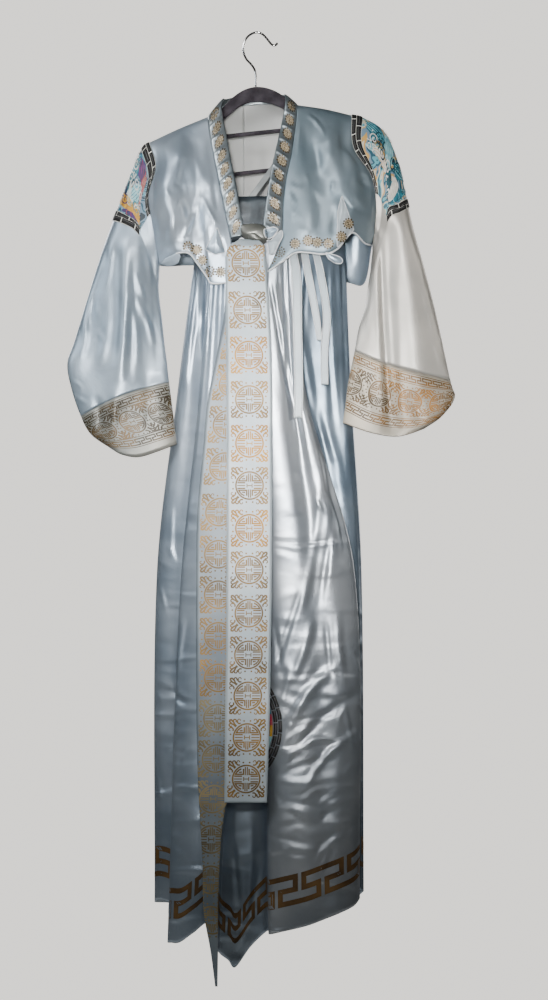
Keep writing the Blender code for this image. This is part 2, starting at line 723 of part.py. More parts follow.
def back_rows():
    """Rows of the fold table for the back, from the right side to the left."""
    start, end = SKIRT_FRONT[-1], SKIRT_FRONT[0]
    count = 2 * BACK_FOLDS
    rows = []
    for step in range(1, count):
        share = step / count
        arch = math.sqrt(1 - abs(2 * share - 1)**BACK_ROUNDNESS)
        fade = min(BACK_FOLD_FADE * min(share, 1 - share), 1.0)
        wave = BACK_FOLD_DEPTH * fade * (1 if step % 2 else -1)
        row = []
        for level in range(4):
            x = start[2 * level] + (end[2 * level] - start[2 * level]) * share
            side_y = start[2 * level + 1] + (end[2 * level + 1] - start[2 * level + 1]) * share
            depth = BACK_WAIST + (BACK_HEM - BACK_WAIST) * SKIRT_LEVELS[level]
            row += [x, side_y + (depth - side_y) * arch + wave * SKIRT_LEVELS[level]]
        row.append(BACK_HEM_Z + BACK_HEM_WAVE * math.cos(2 * math.pi * share * BACK_HEM_WAVES))
        rows.append(tuple(row))
    return rows


def skirt_grid():
    """Columns of points from the waist to the hem, closed round the body."""
    table = list(SKIRT_FRONT) + back_rows()
    count = len(table)
    columns = []
    for index in range(count * COLUMN_STEPS):
        at = index / COLUMN_STEPS
        base = int(at)
        near = [(step, *table[(base + step) % count]) for step in (-1, 0, 1, 2)]
        columns.append(spline(near, at - base))
    ring_rows = []
    for rise in SKIRT_RISE:
        ring = []
        for values in columns:
            levels = [(SKIRT_LEVELS[k], values[2 * k], values[2 * k + 1]) for k in range(4)]
            x, y = spline(levels, rise)
            ring.append(Vector((x, y, WAIST_Z + (values[8] - WAIST_Z) * rise)))
        ring_rows.append(pleated(ring, rise))
    return [list(column) for column in zip(*ring_rows)]


def pleated(ring, rise):
    """Move every other column of a ring in or out, which makes the gathers."""
    if rise < PLEAT_PEAK:
        depth = PLEAT_DEPTH * rise / PLEAT_PEAK
    else:
        depth = PLEAT_DEPTH * max(1 - (rise - PLEAT_PEAK) / (PLEAT_FADE - PLEAT_PEAK), 0.0)
    count = len(ring)
    moved = []
    for index, point in enumerate(ring):
        along = ring[(index + 1) % count] - ring[index - 1]
        out = Vector((along.y, -along.x, 0)).normalized()
        room = min(along.length / PLEAT_ROOM, 1.0)
        moved.append(point + out * depth * room * (-1)**index)
    return moved


def build_skirt():
    columns = skirt_grid()
    cloth = Cloth()
    for name, start, end in SKIRT_WIDTHS:
        span = range(start * COLUMN_STEPS, end * COLUMN_STEPS + 1)
        cloth.add(name, [columns[k % len(columns)] for k in span], -1, "satin")
    cloth.build()

    band = Cloth()
    rings = []
    for share in even(2):
        height = WAIST_Z + SEAM_GAP + (BAND_TOP_Z - WAIST_Z) * share
        centre = Vector((*BAND_CENTRE, height))
        waist = [Vector((column[0].x, column[0].y, height)) for column in columns[::2]]
        rings.append([point.lerp(centre, BAND_TAPER * share) for point in waist])
    band.add("chest_band", rings, -1, "cotton_band", closed=True)
    band.build()


# Ribbons, straps and knot

def ribbon(name, table, look, thickness=RIBBON):
    """A flat hanging ribbon: a wall through rows of three points."""
    cloth = Cloth()
    grid = []
    for z, left, right, y in table:
        grid.append([Vector((left + (right - left) * share, y, z)) for share in even(2)])
    cloth.add(name, grid, 1, look, wall=thickness)
    cloth.build()


def arm_top(x):
    """Height of the hanger's upper edge at x."""
    return spline([(row[0], row[1]) for row in ARM], x)[0]


def build_straps():
    foot_z = BAND_TOP_Z + STRAP_FOOT_RISE
    for name, over_x, foot_x, front_y, back_y in STRAPS:
        grid = []
        for share, over_y, above in STRAP_PATH:
            x = foot_x + (over_x - foot_x) * share
            foot_y = front_y if over_y < 0 else back_y
            y = foot_y + (over_y - foot_y) * share
            points = []
            for side in (-STRAP_HALF, 0, STRAP_HALF):
                z = foot_z + (arm_top(over_x + side) + above - foot_z) * share
                points.append(Vector((x + side, y, z)))
            grid.append(points)
        cloth = Cloth()
        cloth.add(name, grid, -1, "cotton_band", wall=RIBBON)
        cloth.build()


def through_rings(name, sections, look):
    """A closed solid through rings of points, with both ends filled."""
    sides = len(sections[0])
    points = [point for ring in sections for point in ring]
    faces = [list(range(sides - 1, -1, -1))]
    for i in range(len(sections) - 1):
        for j in range(sides):
            k = (j + 1) % sides
            faces.append([i * sides + j, i * sides + k, (i + 1) * sides + k, (i + 1) * sides + j])
    last = (len(sections) - 1) * sides
    faces.append([last + j for j in range(sides)])
    make_object(name, points, faces, look)


def build_knot():
    sections = []
    for x, z, half_height, half_depth in KNOT:
        ring = []
        for side in range(KNOT_SIDES):
            angle = 2 * math.pi * side / KNOT_SIDES
            y = KNOT_Y + half_depth * math.cos(angle)
            ring.append(Vector((x, y, z + half_height * math.sin(angle))))
        sections.append(ring)
    through_rings("tie_knot", sections, "ribbon_satin")


# Hanger

def build_hanger():
    sections = []
    for x, z, height in ARM:
        upper = [Vector((x, y, z + at)) for y, at in ARM_UPPER_OUTLINE]
        lower = [Vector((x, y, z - height + at)) for y, at in ARM_LOWER_OUTLINE]
        sections.append(upper + lower)
    through_rings("hanger_arms", sections, "velvet")
    for name, line in RAILS:
        build_rail(name, line)
    build_hook()


def build_rail(name, line):
    """A bar of many-sided section along a line in the hanger's plane."""
    sections = []
    for index, (x, z) in enumerate(line):
        ahead = line[min(index + 1, len(line) - 1)]
        behind = line[max(index - 1, 0)]
        along = Vector((ahead[0] - behind[0], 0, ahead[1] - behind[1])).normalized()
        up = Vector((-along.z, 0, along.x))
        ring = []
        for side in range(RAIL_SIDES):
            angle = math.pi * (2 * side + 1) / RAIL_SIDES
            corner = 1 / math.cos(math.pi / RAIL_SIDES)
            depth = RAIL_HALF_DEPTH * corner * math.cos(angle)
            ring.append(Vector((x, depth, z)) + up * RAIL_HALF_HEIGHT * corner * math.sin(angle))
        sections.append(ring)
    through_rings(name, sections, "velvet")


def build_hook():
    curve = bpy.data.curves.new("hook", "CURVE")
    curve.dimensions = "3D"
    curve.bevel_depth = HOOK_RADIUS * MM
    curve.bevel_resolution = 2
    curve.use_fill_caps = True
    rows = [(index, x, z) for index, (x, z) in enumerate(HOOK)]
    steps = HOOK_STEPS * (len(HOOK) - 1)
    path = [spline(rows, step / HOOK_STEPS) for step in range(steps + 1)]
    line = curve.splines.new("POLY")
    line.points.add(len(path) - 1)
    for point, (x, z) in zip(line.points, path):
        point.co = (x * MM, 0, z * MM, 1)
    curve.materials.append(look_of("chrome"))
    hook = bpy.data.objects.new("hook", curve)
    bpy.context.scene.collection.objects.link(hook)


build_jacket()
build_skirt()
ribbon("tie_front", FRONT_TIE, "ribbon_satin", CLOTH)
ribbon("tie_back", BACK_TIE, "ribbon_satin", CLOTH)
for ribbon_name, ribbon_rows in INNER_TIES:
    ribbon(ribbon_name, ribbon_rows, "satin")
build_straps()
build_knot()
build_hanger()
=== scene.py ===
import math

import bpy
import numpy as np
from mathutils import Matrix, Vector
from mathutils.bvhtree import BVHTree


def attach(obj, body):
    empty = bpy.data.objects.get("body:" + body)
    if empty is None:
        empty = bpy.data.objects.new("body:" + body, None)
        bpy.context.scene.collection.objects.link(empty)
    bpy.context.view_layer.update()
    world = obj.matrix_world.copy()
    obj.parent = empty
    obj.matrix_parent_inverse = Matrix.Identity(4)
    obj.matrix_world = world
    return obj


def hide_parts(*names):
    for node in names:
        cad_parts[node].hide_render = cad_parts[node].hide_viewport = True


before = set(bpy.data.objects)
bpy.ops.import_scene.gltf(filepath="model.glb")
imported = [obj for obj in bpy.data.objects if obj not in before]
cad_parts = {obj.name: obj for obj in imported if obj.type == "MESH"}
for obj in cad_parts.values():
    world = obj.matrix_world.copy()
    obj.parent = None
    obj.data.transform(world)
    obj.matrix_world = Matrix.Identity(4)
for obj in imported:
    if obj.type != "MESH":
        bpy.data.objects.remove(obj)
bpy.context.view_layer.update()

# A satin hanbok on a hanger: the looks over the fixed solids. Tables are in millimetres,
# in the frame of the solids, and the first ones repeat the source of the solids.

MM = 0.001
SLEEVE_ROWS = 10
SLEEVE_ROUNDNESS = 2.6
CREASE_HEIGHT = 0.62   # share of the crease tables' heights that is built
CREASE_WIDTH = 0.72    # and of their half widths
CREASE_ENDS = 0.7      # power by which a crease dies out at its ends
TROUGH = 0.35          # depth of the trough beside a crease, as a share of its height
TROUGH_AT = 1.7        # its distance in half widths
SEAM_GAP = 0.3


# Tables of the jacket

# Sleeve rings. Each lies across the sleeve: x and z at its outer fold, at every quarter
# of the way and at its inner edge, then the centre depth y and the half depth of the
# flattened tube.
LEFT_SLEEVE = (
    (-189, -192, -177, -238, -190, -288, -182, -343, -171, -409, 0, 26),    # armhole seam
    (-203, -205, -190, -252, -196, -300, -188, -348, -171.5, -420, 0, 26),
    (-226, -262, -211, -290, -203, -318, -193, -354, -172, -430, 0, 25),
    (-246, -312, -228, -322, -211, -334, -197, -361, -172.5, -439, 0, 24),  # badge border
    (-253, -330, -233, -338, -214, -349, -200, -373, -172.5, -448, 0, 23),  # badge edge
    (-276, -395, -252, -402, -227, -413, -201, -430, -171, -469, -2, 21),
    (-298, -467, -266, -472, -234, -478, -201, -487, -167, -502, -5, 19),
    (-320, -540, -281, -541, -242, -542, -202, -544, -162, -548, -8, 18),
    (-333, -582, -290, -578, -247, -576, -203, -576, -158, -578, -11, 17),
    (-325, -628, -284, -616, -242, -606, -198, -600, -156, -598, -13, 16),
    (-309, -674, -275, -655, -236, -638, -195, -624, -154, -614, -15, 15),  # cuff seam
    (-291, -706, -262, -694, -226, -681, -187, -670, -148, -660, -17, 14),
    (-256, -731, -236, -742, -208, -746, -174, -736, -140, -723, -18, 13),  # cuff opening
)
LEFT_CUFF_RING = 10
LEFT_BADGE_RINGS = (0, 4)
RIGHT_SLEEVE = (
    (166, -144, 169, -203, 200, -253, 209, -308, 203, -372, 0, 26),         # armhole seam
    (186, -149, 184, -197, 206, -251, 214, -314, 203, -383, 0, 26),
    (222, -172, 212, -214, 215, -264, 218, -321, 202, -393, 0, 26),
    (246, -222, 232, -251, 222, -287, 221, -328, 201, -402, -2, 25),
    (263, -291, 244, -303, 230, -310, 223, -338, 200, -411, -4, 24),        # badge border
    (267, -308, 249, -319, 234, -326, 223, -351, 199, -421, -5, 24),        # badge edge
    (278, -356, 257, -370, 237, -382, 216, -402, 195, -445, -8, 22),
    (295, -417, 270, -436, 243, -449, 216, -463, 190, -482, -13, 20),
    (316, -502, 283, -511, 248, -517, 213, -521, 178, -522, -20, 18),
    (339, -612, 297, -602, 255, -592, 213, -578, 171, -560, -28, 16),       # cuff seam
    (346, -643, 299, -652, 250, -645, 205, -632, 160, -614, -31, 15),
    (322, -676, 286, -689, 245, -691, 199, -682, 154, -659, -33, 14),
    (292, -697, 263, -707, 236, -710, 194, -702, 150, -686, -34, 13),       # cuff opening
)
RIGHT_CUFF_RING = 9
RIGHT_BADGE_RINGS = (0, 5)
BADGE_ROW = 6          # a badge reaches this row on the front and on the back

# Edges of the panels: share of the edge's length, then x, y and z.
LEFT_SHOULDER = ((0.0, -189, 0, -192), (0.5, -138, 0, -168), (1.0, -87, 0, -147))
RIGHT_SHOULDER = ((0.0, 166, 0, -144), (0.5, 119, 0, -133), (1.0, 72, 0, -126))
LEFT_HEM = (
    (0.00, -171, 0, -409),
    (0.10, -158, -27, -398),
    (0.20, -139, -58, -391),
    (0.34, -118, -63, -391),    # turned-up loop
    (0.50, -103, -57, -409),
    (0.66, -86, -58, -433),
    (0.76, -79, -64, -443),
    (0.90, -56, -66, -443),
    (1.00, -38, -65, -440),
)
RIGHT_HEM = (
    (0.00, 203, 0, -372),
    (0.16, 189, -24, -370),
    (0.30, 166, -50, -354),     # corner of the turned-up flap
    (0.44, 141, -64, -383),
    (0.58, 117, -68, -393),
    (0.70, 88, -66, -390),
    (0.80, 66, -68, -391),
    (0.90, 44, -69, -406),
    (1.00, 19, -67, -423),
)
LEFT_COLLAR_SEAM = (
    (0.00, -87, 0, -147), (0.03, -86, -9, -153), (0.10, -84, -16, -170), (0.20, -80, -25, -196),
    (0.35, -71, -38, -243), (0.50, -62, -49, -287), (0.65, -53, -57, -331), (0.80, -45, -62, -367),
    (1.00, -38, -65, -440),
)
RIGHT_COLLAR_SEAM = (
    (0.00, 72, 0, -126), (0.03, 71, -9, -132), (0.10, 70, -16, -151), (0.20, 66, -26, -182),
    (0.35, 60, -38, -221), (0.50, 51, -48, -262), (0.65, 46, -57, -305), (0.80, 43, -63, -364),
    (1.00, 19, -67, -423),
)
LEFT_COLLAR_EDGE = (
    (0.00, -59, 0, -114), (0.03, -62, -9, -129), (0.10, -59, -14, -152), (0.20, -53, -23, -182),
    (0.35, -45, -38, -227), (0.50, -36, -50, -270), (0.65, -28, -59, -318), (0.80, -20, -64, -362),
)
RIGHT_COLLAR_EDGE = (
    (0.00, 49, 0, -106.5), (0.03, 50, -9, -119), (0.10, 46, -14, -145), (0.20, 41, -23, -172),
    (0.35, 33, -37, -208), (0.50, 25, -48, -246), (0.65, 17, -58, -296), (0.80, 10, -64, -350),
)
# Back panels: the line below each neck point and the centre back seam.
LEFT_NECK_LINE = (
    (0.00, -87, 0, -147), (0.03, -87, 9, -154), (0.10, -86, 19, -173), (0.30, -83, 38, -225),
    (0.60, -78, 48, -306), (1.00, -70, 52, -404),
)
RIGHT_NECK_LINE = (
    (0.00, 72, 0, -126), (0.03, 72, 9, -133), (0.10, 73, 19, -152), (0.30, 74, 38, -206), (0.60, 77, 48, -296),
    (1.00, 82, 52, -408),
)
CENTRE_BACK = (
    (0.00, -24, 40, -122), (0.50, -24, 48, -250), (1.00, -24, 54, -405),
)
LEFT_NECK = (
    (0.0, -87, 0, -147), (0.3, -75, 20, -136), (0.65, -52, 33, -127), (1.0, -24, 40, -122),
)
RIGHT_NECK = (
    (0.0, 72, 0, -126), (0.2, 64, 20, -121), (0.55, 30, 36, -119), (1.0, -24, 40, -122),
)
LEFT_NECK_TOP = (
    (0.0, -59, 0, -114), (0.3, -55, 17, -113), (0.65, -42, 31, -108), (1.0, -24, 38, -102),
)
RIGHT_NECK_TOP = (
    (0.0, 49, 0, -106.5), (0.2, 47, 15, -106), (0.55, 22, 34, -102), (1.0, -24, 38, -102),
)
LEFT_BACK_HEM = (
    (0.0, -171, 0, -409), (0.2, -158, 26, -408), (0.5, -128, 44, -405), (1.0, -70, 52, -404),
)
RIGHT_BACK_HEM = (
    (0.0, 203, 0, -372), (0.25, 191, 24, -436), (0.5, 166, 40, -437), (1.0, 82, 52, -408),
)
LEFT_BACK_MID_HEM = ((0.0, -70, 52, -404), (1.0, -24, 54, -405))
RIGHT_BACK_MID_HEM = ((0.0, 82, 52, -408), (1.0, -24, 54, -405))

# Soft folds that reach the solids: the side they lie on (-1 front, 1 back), x and z at
# both ends, height outwards (negative for a trough) and half width.
LEFT_FRONT_FOLDS = (
    (-1, -118, -225, -79, -340, 7, 24), (-1, -95, -292, -132, -378, -8, 18),
    (-1, -150, -215, -165, -340, 6, 26),
)
RIGHT_FRONT_FOLDS = (
    (-1, 96, -200, 142, -330, -6, 26), (-1, 148, -292, 200, -322, 9, 20), (-1, 120, -200, 150, -262, 6, 24),
)
LEFT_SLEEVE_FOLDS = (
    (-1, -215, -385, -240, -640, 6, 22), (-1, -185, -400, -188, -600, -5, 24),
    (-1, -252, -400, -290, -590, -4, 24), (1, -225, -360, -250, -660, 6, 26),
)
RIGHT_SLEEVE_FOLDS = (
    (-1, 228, -350, 236, -690, -6, 18), (-1, 252, -350, 282, -620, 5, 26), (1, 240, -340, 262, -660, 6, 28),
)

# Table of the skirt

# One row for each fold edge or face, all the way round from the left side along the
# front: x and y at the waist, at a fifth of the length, at half and at the hem, and z of
# the hem there.
SKIRT_LEVELS = (0.0, 0.22, 0.5, 1.0)
SKIRT_FRONT = (
    (-106, 6, -139, 6, -176, 8, -180, 10, -1530),      # left side
    (-102, -12, -130, -12, -166, -8, -172, -6, -1524),     # side layer
    (-94, -26, -106, -20, -138, -17, -151, -15, -1530),    # tucked behind the front
    (-87, -33, -91, -27, -118, -25, -134, -24, -1550),     # turn of the tuck
    (-84, -37, -96, -37, -129, -36, -149, -37, -1582),
    (-81, -40, -101, -43, -134, -43, -156, -44, -1592),    # left edge of the front panel
    (-76, -43, -95, -50, -127, -51, -149, -53, -1592),
    (-64, -47, -80, -57, -104, -60, -134, -62, -1590),
    (-54, -50, -62, -61, -84, -64, -110, -66, -1573),
    (-42, -51, -40, -60, -62, -62, -84, -62, -1556),       # right edge of the front panel
    (-34, -50, -29, -54, -51, -50, -73, -46, -1590),
    (-28, -49, -23, -44, -45, -30, -66, -22, -1614),       # side wall of the recess
    (-20, -49, -16, -38, -32, -16, -50, -7, -1630),
    (-14, -49, -10, -37, -22, -12, -38, -2, -1643),        # lowest point of the hem
    (-6, -50, -3, -38, -7, -13, -12, -1, -1608),           # recess
    (1, -51, 4, -42, 7, -22, 12, -12, -1582),
    (6, -52, 8, -50, 13, -40, 20, -34, -1574),             # left edge of the right panel
    (13, -53, 12, -60, 17, -60, 22, -56, -1577),
    (22, -54, 24, -66, 38, -71, 42, -70, -1571),
    (36, -54, 44, -64, 74, -74, 86, -74, -1560),
    (48, -51, 62, -52, 102, -67, 120, -70, -1548),         # trough
    (56, -52, 71, -61, 132, -66, 146, -66, -1538),         # ridge
    (64, -50, 80, -56, 158, -56, 169, -54, -1528),
    (70, -47, 84, -47, 170, -45, 180, -40, -1516),         # right edge of the front
    (74, -44, 79, -38, 166, -36, 176, -29, -1514),
    (80, -42, 76, -29, 157, -26, 168, -19, -1511),         # turn behind the edge
    (96, -40, 92, -18, 164, -17, 174, -12, -1508),
    (122, -33, 128, -15, 174, -12, 181, -7, -1506),        # side layer
    (142, -20, 152, -9, 180, -5, 185, -1, -1509),
    (156, 2, 166, 6, 183, 8, 187, 10, -1512),              # right side
)
BACK_FOLDS = 8         # soft folds across the back of the skirt
BACK_WAIST = 42        # depth of the back at the waist
BACK_HEM = 62          # depth of the back at the hem
BACK_FOLD_DEPTH = 9
BACK_FOLD_FADE = 4     # the folds of the back fade over this part of its width
BACK_ROUNDNESS = 3     # power of the back's section, 2 being an ellipse
BACK_HEM_Z = -1538
BACK_HEM_WAVE = 6      # height of the waves of the back's hem
BACK_HEM_WAVES = 3
WAIST_Z = -372
BAND_TOP_Z = -292
BAND_CENTRE = (25, -2)
BAND_TAPER = 0.06      # share by which the band closes in towards its upper edge
COLUMN_STEPS = 3       # columns of cloth between two rows of the fold table
PLEAT_DEPTH = 2.6      # gathers under the waist seam
PLEAT_PEAK = 0.055     # share of the length where the gathers are deepest
PLEAT_FADE = 0.38      # share of the length where they have died out
PLEAT_ROOM = 14        # width of a gather that takes the full depth
# Seams of the skirt's widths of cloth, as rows of the fold table.
SKIRT_WIDTHS = (
    ("skirt_width_side_left", 0, 3),
    ("skirt_width_front_left", 3, 7),
    ("skirt_width_front_inner", 7, 11),
    ("skirt_width_front_centre", 11, 16),
    ("skirt_width_front_right", 16, 25),
    ("skirt_width_side_right", 25, 29),
    ("skirt_width_back_right", 29, 37),
    ("skirt_width_back_left", 37, 45),
)

# Ribbons: z, x of both edges, and y. The first row is the top.
FRONT_TIE = (
    (-369, -30, 2, -75.3), (-379, -44, 12, -81.4), (-392, -53, 15, -81.9), (-430, -54, 18, -82.5),
    (-572, -53, 26, -81.2), (-700, -52, 27, -81.1), (-860, -52, 27, -82.2), (-1066, -53, 25, -83.0),
    (-1220, -55, 22, -82.7), (-1345, -56, 18, -81.5),
)
BACK_TIE = (
    (-387, -44, 10, -79.7), (-430, -50, 14, -80.5), (-504, -57, 18, -80), (-572, -70, 8, -79),
    (-654, -86, -9, -79), (-733, -93, -16, -79), (-843, -103, -26, -80), (-969, -105, -28, -81),
    (-1136, -105, -28, -81), (-1274, -103, -38, -80), (-1377, -98, -58, -79), (-1447, -94, -64, -78),
    (-1533, -92, -67, -78), (-1603, -80, -67, -78), (-1664, -72, -68, -78),
)
INNER_TIES = (
    ("inner_tie_left", ((-366, 52, 64, -53.5), (-430, 61, 76, -60), (-520, 64, 78, -65),
                        (-640, 66, 80, -66.5), (-679, 65, 78, -66))),
    ("inner_tie_middle", ((-366, 74, 84, -45.6), (-430, 84, 96, -54), (-500, 98, 109, -52),
                          (-543, 106, 114, -48))),
    ("inner_tie_right", ((-366, 92, 102, -42.0), (-430, 106, 118, -50), (-500, 116, 128, -48),
                         (-560, 112, 124, -44), (-620, 113, 124, -42))),
)
# The knot: centre x and z, half height and half depth of its rings.
KNOT = (
    (-27, -352, 3, 3), (-24, -353, 9, 5.5), (-14, -356, 13, 7), (0, -358, 15, 7.5), (13, -360, 14, 6),
    (18, -361, 5, 3),
)
KNOT_Y = -69.3

# Straps of the skirt over the hanger: x on the arm, x of their feet on the band, and y
# of their front and back feet.
STRAPS = (
    ("skirt_strap_left", -104, -66, -44.2, 33.0),
    ("skirt_strap_right", 92, -8, -46.8, 39.0),
)
STRAP_HALF = 6
STRAP_STEPS = 90
STRAP_COLUMNS = 7
STRAP_FOOT_RISE = 0.65  # height of a strap's feet over the band's upper edge
# A strap's run from its front foot over the hanger to its back foot: the share of the
# way up to the arm, y at the arm, and the height above the arm's upper edge.
STRAP_PATH = (
    (0.0, -8.0, -16.0), (0.55, -8.0, -16.0), (1.0, -8.0, -16.0), (1.0, -6.0, -6.5), (1.0, -5.0, 0.2),
    (1.0, 0.0, 2.6), (1.0, 5.0, 0.2), (1.0, 6.0, -6.5), (1.0, 8.0, -16.0), (0.55, 8.0, -16.0),
    (0.0, 8.0, -16.0),
)

# The hanger: x and z of the arm's upper edge and the arm's height there.
ARM = (
    (-186, -197, 10), (-178, -193, 18), (-138, -174, 22), (-104, -159.6, 23), (-80, -150, 24), (-62, -132, 25),
    (-49, -118, 26), (-26, -101, 26), (-2, -94, 27), (24, -98, 26), (48, -111, 24), (66, -129, 23),
    (92, -134.7, 22), (126, -140, 22), (160, -151, 20), (182, -160, 17), (190, -164, 9),
)
RAILS = (
    ("hanger_rail_upper", ((-114, -191.5), (-60, -182), (50, -170.5), (112, -166.2))),
    ("hanger_rail_lower", ((-182, -212.6), (-176, -244), (-150, -259), (-60, -250), (40, -239),
                           (150, -226), (178, -208), (184, -178))),
)
HOOK_RADIUS = 1.9
HOOK = (
    (36.5, -17), (31.5, -21), (25.5, -19), (18, -9.8), (9.5, -1.2), (0, 1.9), (-11.5, -1.8),
    (-20.5, -11.5), (-24.2, -25), (-22.8, -36), (-18, -46), (-10.5, -54), (-4.5, -63),
    (-2.2, -74), (-2, -93.4),
)


# Curves and grids

def hermite(rows, at):
    """Read a table of (key, values...) at many keys, on a smooth curve through its rows."""
    table = np.array(rows, float)
    keys, values = table[:, 0], table[:, 1:]
    at = np.clip(np.asarray(at, float), keys[0], keys[-1])
    last = len(keys) - 1
    index = np.clip(np.searchsorted(keys, at) - 1, 0, last - 1)
    low = np.maximum(np.arange(last + 1) - 1, 0)
    high = np.minimum(np.arange(last + 1) + 1, last)
    slopes = (values[high] - values[low]) / (keys[high] - keys[low])[:, None]
    step = (keys[index + 1] - keys[index])[:, None]
    t = (at - keys[index])[:, None] / step
    first = 2 * t**3 - 3 * t**2 + 1
    return (first * values[index] + (1 - first) * values[index + 1]
            + (t**3 - 2 * t**2 + t) * step * slopes[index]
            + (t**3 - t**2) * step * slopes[index + 1])


def through(rows, count):
    """A smooth curve through evenly spaced rows, read at count places."""
    return hermite([(index, *row) for index, row in enumerate(rows)], np.linspace(0, len(rows) - 1, count))


def faded(shares, times):
    """1 in the middle of a run from 0 to 1, and less over the last 1 / times at both ends."""
    return np.minimum(np.minimum(shares, 1 - shares) * times, 1)


def bunched(turns):
    """Shares from 0 to 1 for turns from 0 to 1, closer together at both ends."""
    return (1 - np.cos(np.pi * turns)) / 2


def patch(top, bottom, side, centre, across, down):
    """A grid of points between four edges. Its first index runs across, its second down."""
    u, v = across[:, None, None], down[None, :, None]
    rule = top[:, None] * (1 - v) + bottom[:, None] * v + side[None] * (1 - u) + centre[None] * u
    corners = (side[0] * (1 - u) + centre[0] * u) * (1 - v) + (side[-1] * (1 - u) + centre[-1] * u) * v
    return rule - corners


def normals_of(points, outward, closed=False):
    """Unit normals of a grid. closed joins the ends of its second index."""
    along = np.gradient(points, axis=0)
    if closed:
        across = (np.roll(points, -1, axis=1) - np.roll(points, 1, axis=1)) / 2
    else:
        across = np.gradient(points, axis=1)
    normals = np.cross(along, across) * outward
    size = np.linalg.norm(normals, axis=2, keepdims=True)
    return normals / np.maximum(size, 1e-9)


def folded(points, side, folds):
    """Move points out of or into the cloth by the folds of the solids. side is -1 on the
    front and 1 on the back, and less where a fold dies out."""
    x, z = points[..., 0], points[..., 2]
    shift = np.zeros(x.shape)
    for fold_side, x0, z0, x1, z1, height, width in folds:
        length2 = (x1 - x0)**2 + (z1 - z0)**2
        t = np.clip(((x - x0) * (x1 - x0) + (z - z0) * (z1 - z0)) / length2, 0, 1)
        away = np.hypot(x - x0 - t * (x1 - x0), z - z0 - t * (z1 - z0))
        shift += np.where(side * fold_side > 0, height * np.exp(-(away / width)**2), 0)
    moved = points.copy()
    moved[..., 1] += side * shift
    return moved


def creased(points, normals, rows, weight=1.0):
    """Push points along their normals by soft, uneven creases, which the rows give in the
    front view: both ends, the bow between them, height and half width."""
    x, z = points[..., 0], points[..., 2]
    push = np.zeros(x.shape)
    for x0, z0, x1, z1, bow, height, width in rows:
        width *= CREASE_WIDTH
        length = math.hypot(x1 - x0, z1 - z0)
        ux, uz = (x1 - x0) / length, (z1 - z0) / length
        t = np.clip(((x - x0) * ux + (z - z0) * uz) / length, 0, 1)
        away = (z - z0) * ux - (x - x0) * uz - bow * 4 * t * (1 - t)
        uneven = 1 + 0.2 * np.sin(7 * t + x0) + 0.12 * np.sin(19 * t + z0)
        ridge = np.exp(-(away / width)**2) - TROUGH * np.exp(-((away - TROUGH_AT * width) / width)**2)
        push += CREASE_HEIGHT * height * np.sin(np.pi * t)**CREASE_ENDS * uneven * ridge
    return points + normals * (push * weight)[..., None]


def lengths(points):
    """Length from the first row of a grid to each of its rows, for every column."""
    steps = np.linalg.norm(np.diff(points, axis=0), axis=2)
    return np.vstack([np.zeros(points.shape[1]), np.cumsum(steps, axis=0)])


class Sheet:
    """A grid of cloth points with normals, which other pieces can be laid on."""

    def __init__(self, points, outward, closed=False):
        self.points = points
        self.outward = outward
        self.closed = closed
        self.normals = normals_of(points, outward, closed)

    def crease(self, rows, weight=1.0):
        """Push creases out of the sheet. Gives the sheet back."""
        self.points = creased(self.points, self.normals, rows, weight)
        self.normals = normals_of(self.points, self.outward, self.closed)
        return self

    def faces(self):
        """Four-sided faces, turned so that they look outwards."""
        n, m = self.points.shape[:2]
        i, j = np.meshgrid(np.arange(n - 1), np.arange(m if self.closed else m - 1), indexing="ij")
        i, j = i.ravel(), j.ravel()
        k = (j + 1) % m
        quads = np.stack([i * m + j, (i + 1) * m + j, (i + 1) * m + k, i * m + k], axis=1)
        return quads if self.outward > 0 else quads[:, ::-1]

    def place(self, i, j, lift):
        """Points at fractional grid places, lifted off the cloth."""
        n, m = self.points.shape[:2]
        i0 = np.clip(np.floor(i).astype(int), 0, n - 2)
        j0 = np.floor(j).astype(int)
        j0 = j0 % m if self.closed else np.clip(j0, 0, m - 2)
        j1 = (j0 + 1) % m
        s, t = (i - i0)[:, None], (j - np.floor(j) if self.closed else j - j0)[:, None]
        corners = []
        for grid in (self.points, self.normals):
            corners.append((grid[i0, j0] * (1 - s) + grid[i0 + 1, j0] * s) * (1 - t)
                           + (grid[i0, j1] * (1 - s) + grid[i0 + 1, j1] * s) * t)
        return corners[0] + corners[1] * lift

    def part(self, rows=slice(None), columns=slice(None)):
        """A sheet of some rows and columns, with the normals of the whole."""
        sheet = Sheet(self.points[rows, columns], self.outward)
        sheet.normals = self.normals[rows, columns]
        return sheet


# Pieces

def mesh_object(name, points, faces, materials, indices=None):
    """A smooth piece of the root body, from points in millimetres."""
    mesh = bpy.data.meshes.new(name)
    mesh.from_pydata((np.asarray(points) * MM).tolist(), [], [list(map(int, face)) for face in faces])
    for material in materials:
        mesh.materials.append(finishes[material])
    if indices is not None:
        mesh.polygons.foreach_set("material_index", np.asarray(indices, np.int32))
    mesh.shade_smooth()
    mesh.update()
    body = bpy.data.objects.new(name, mesh)
    bpy.context.scene.collection.objects.link(body)
    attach(body, "root")
    return body


def settled(body, nodes=()):
    """Hide the solids that a piece replaces, if any."""
    if nodes:
        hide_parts(*nodes)


def shelled(body, thickness):
    """Give a cloth its thickness, inwards."""
    shell = body.modifiers.new("shell", "SOLIDIFY")
    shell.thickness = thickness * MM
    shell.offset = -1
    return shell


def ring_faces(rings, count, base=0):
    """The four-sided faces between rings of count points each."""
    return [(base + i * count + j, base + i * count + (j + 1) % count,
             base + (i + 1) * count + (j + 1) % count, base + (i + 1) * count + j)
            for i in range(rings - 1) for j in range(count)]


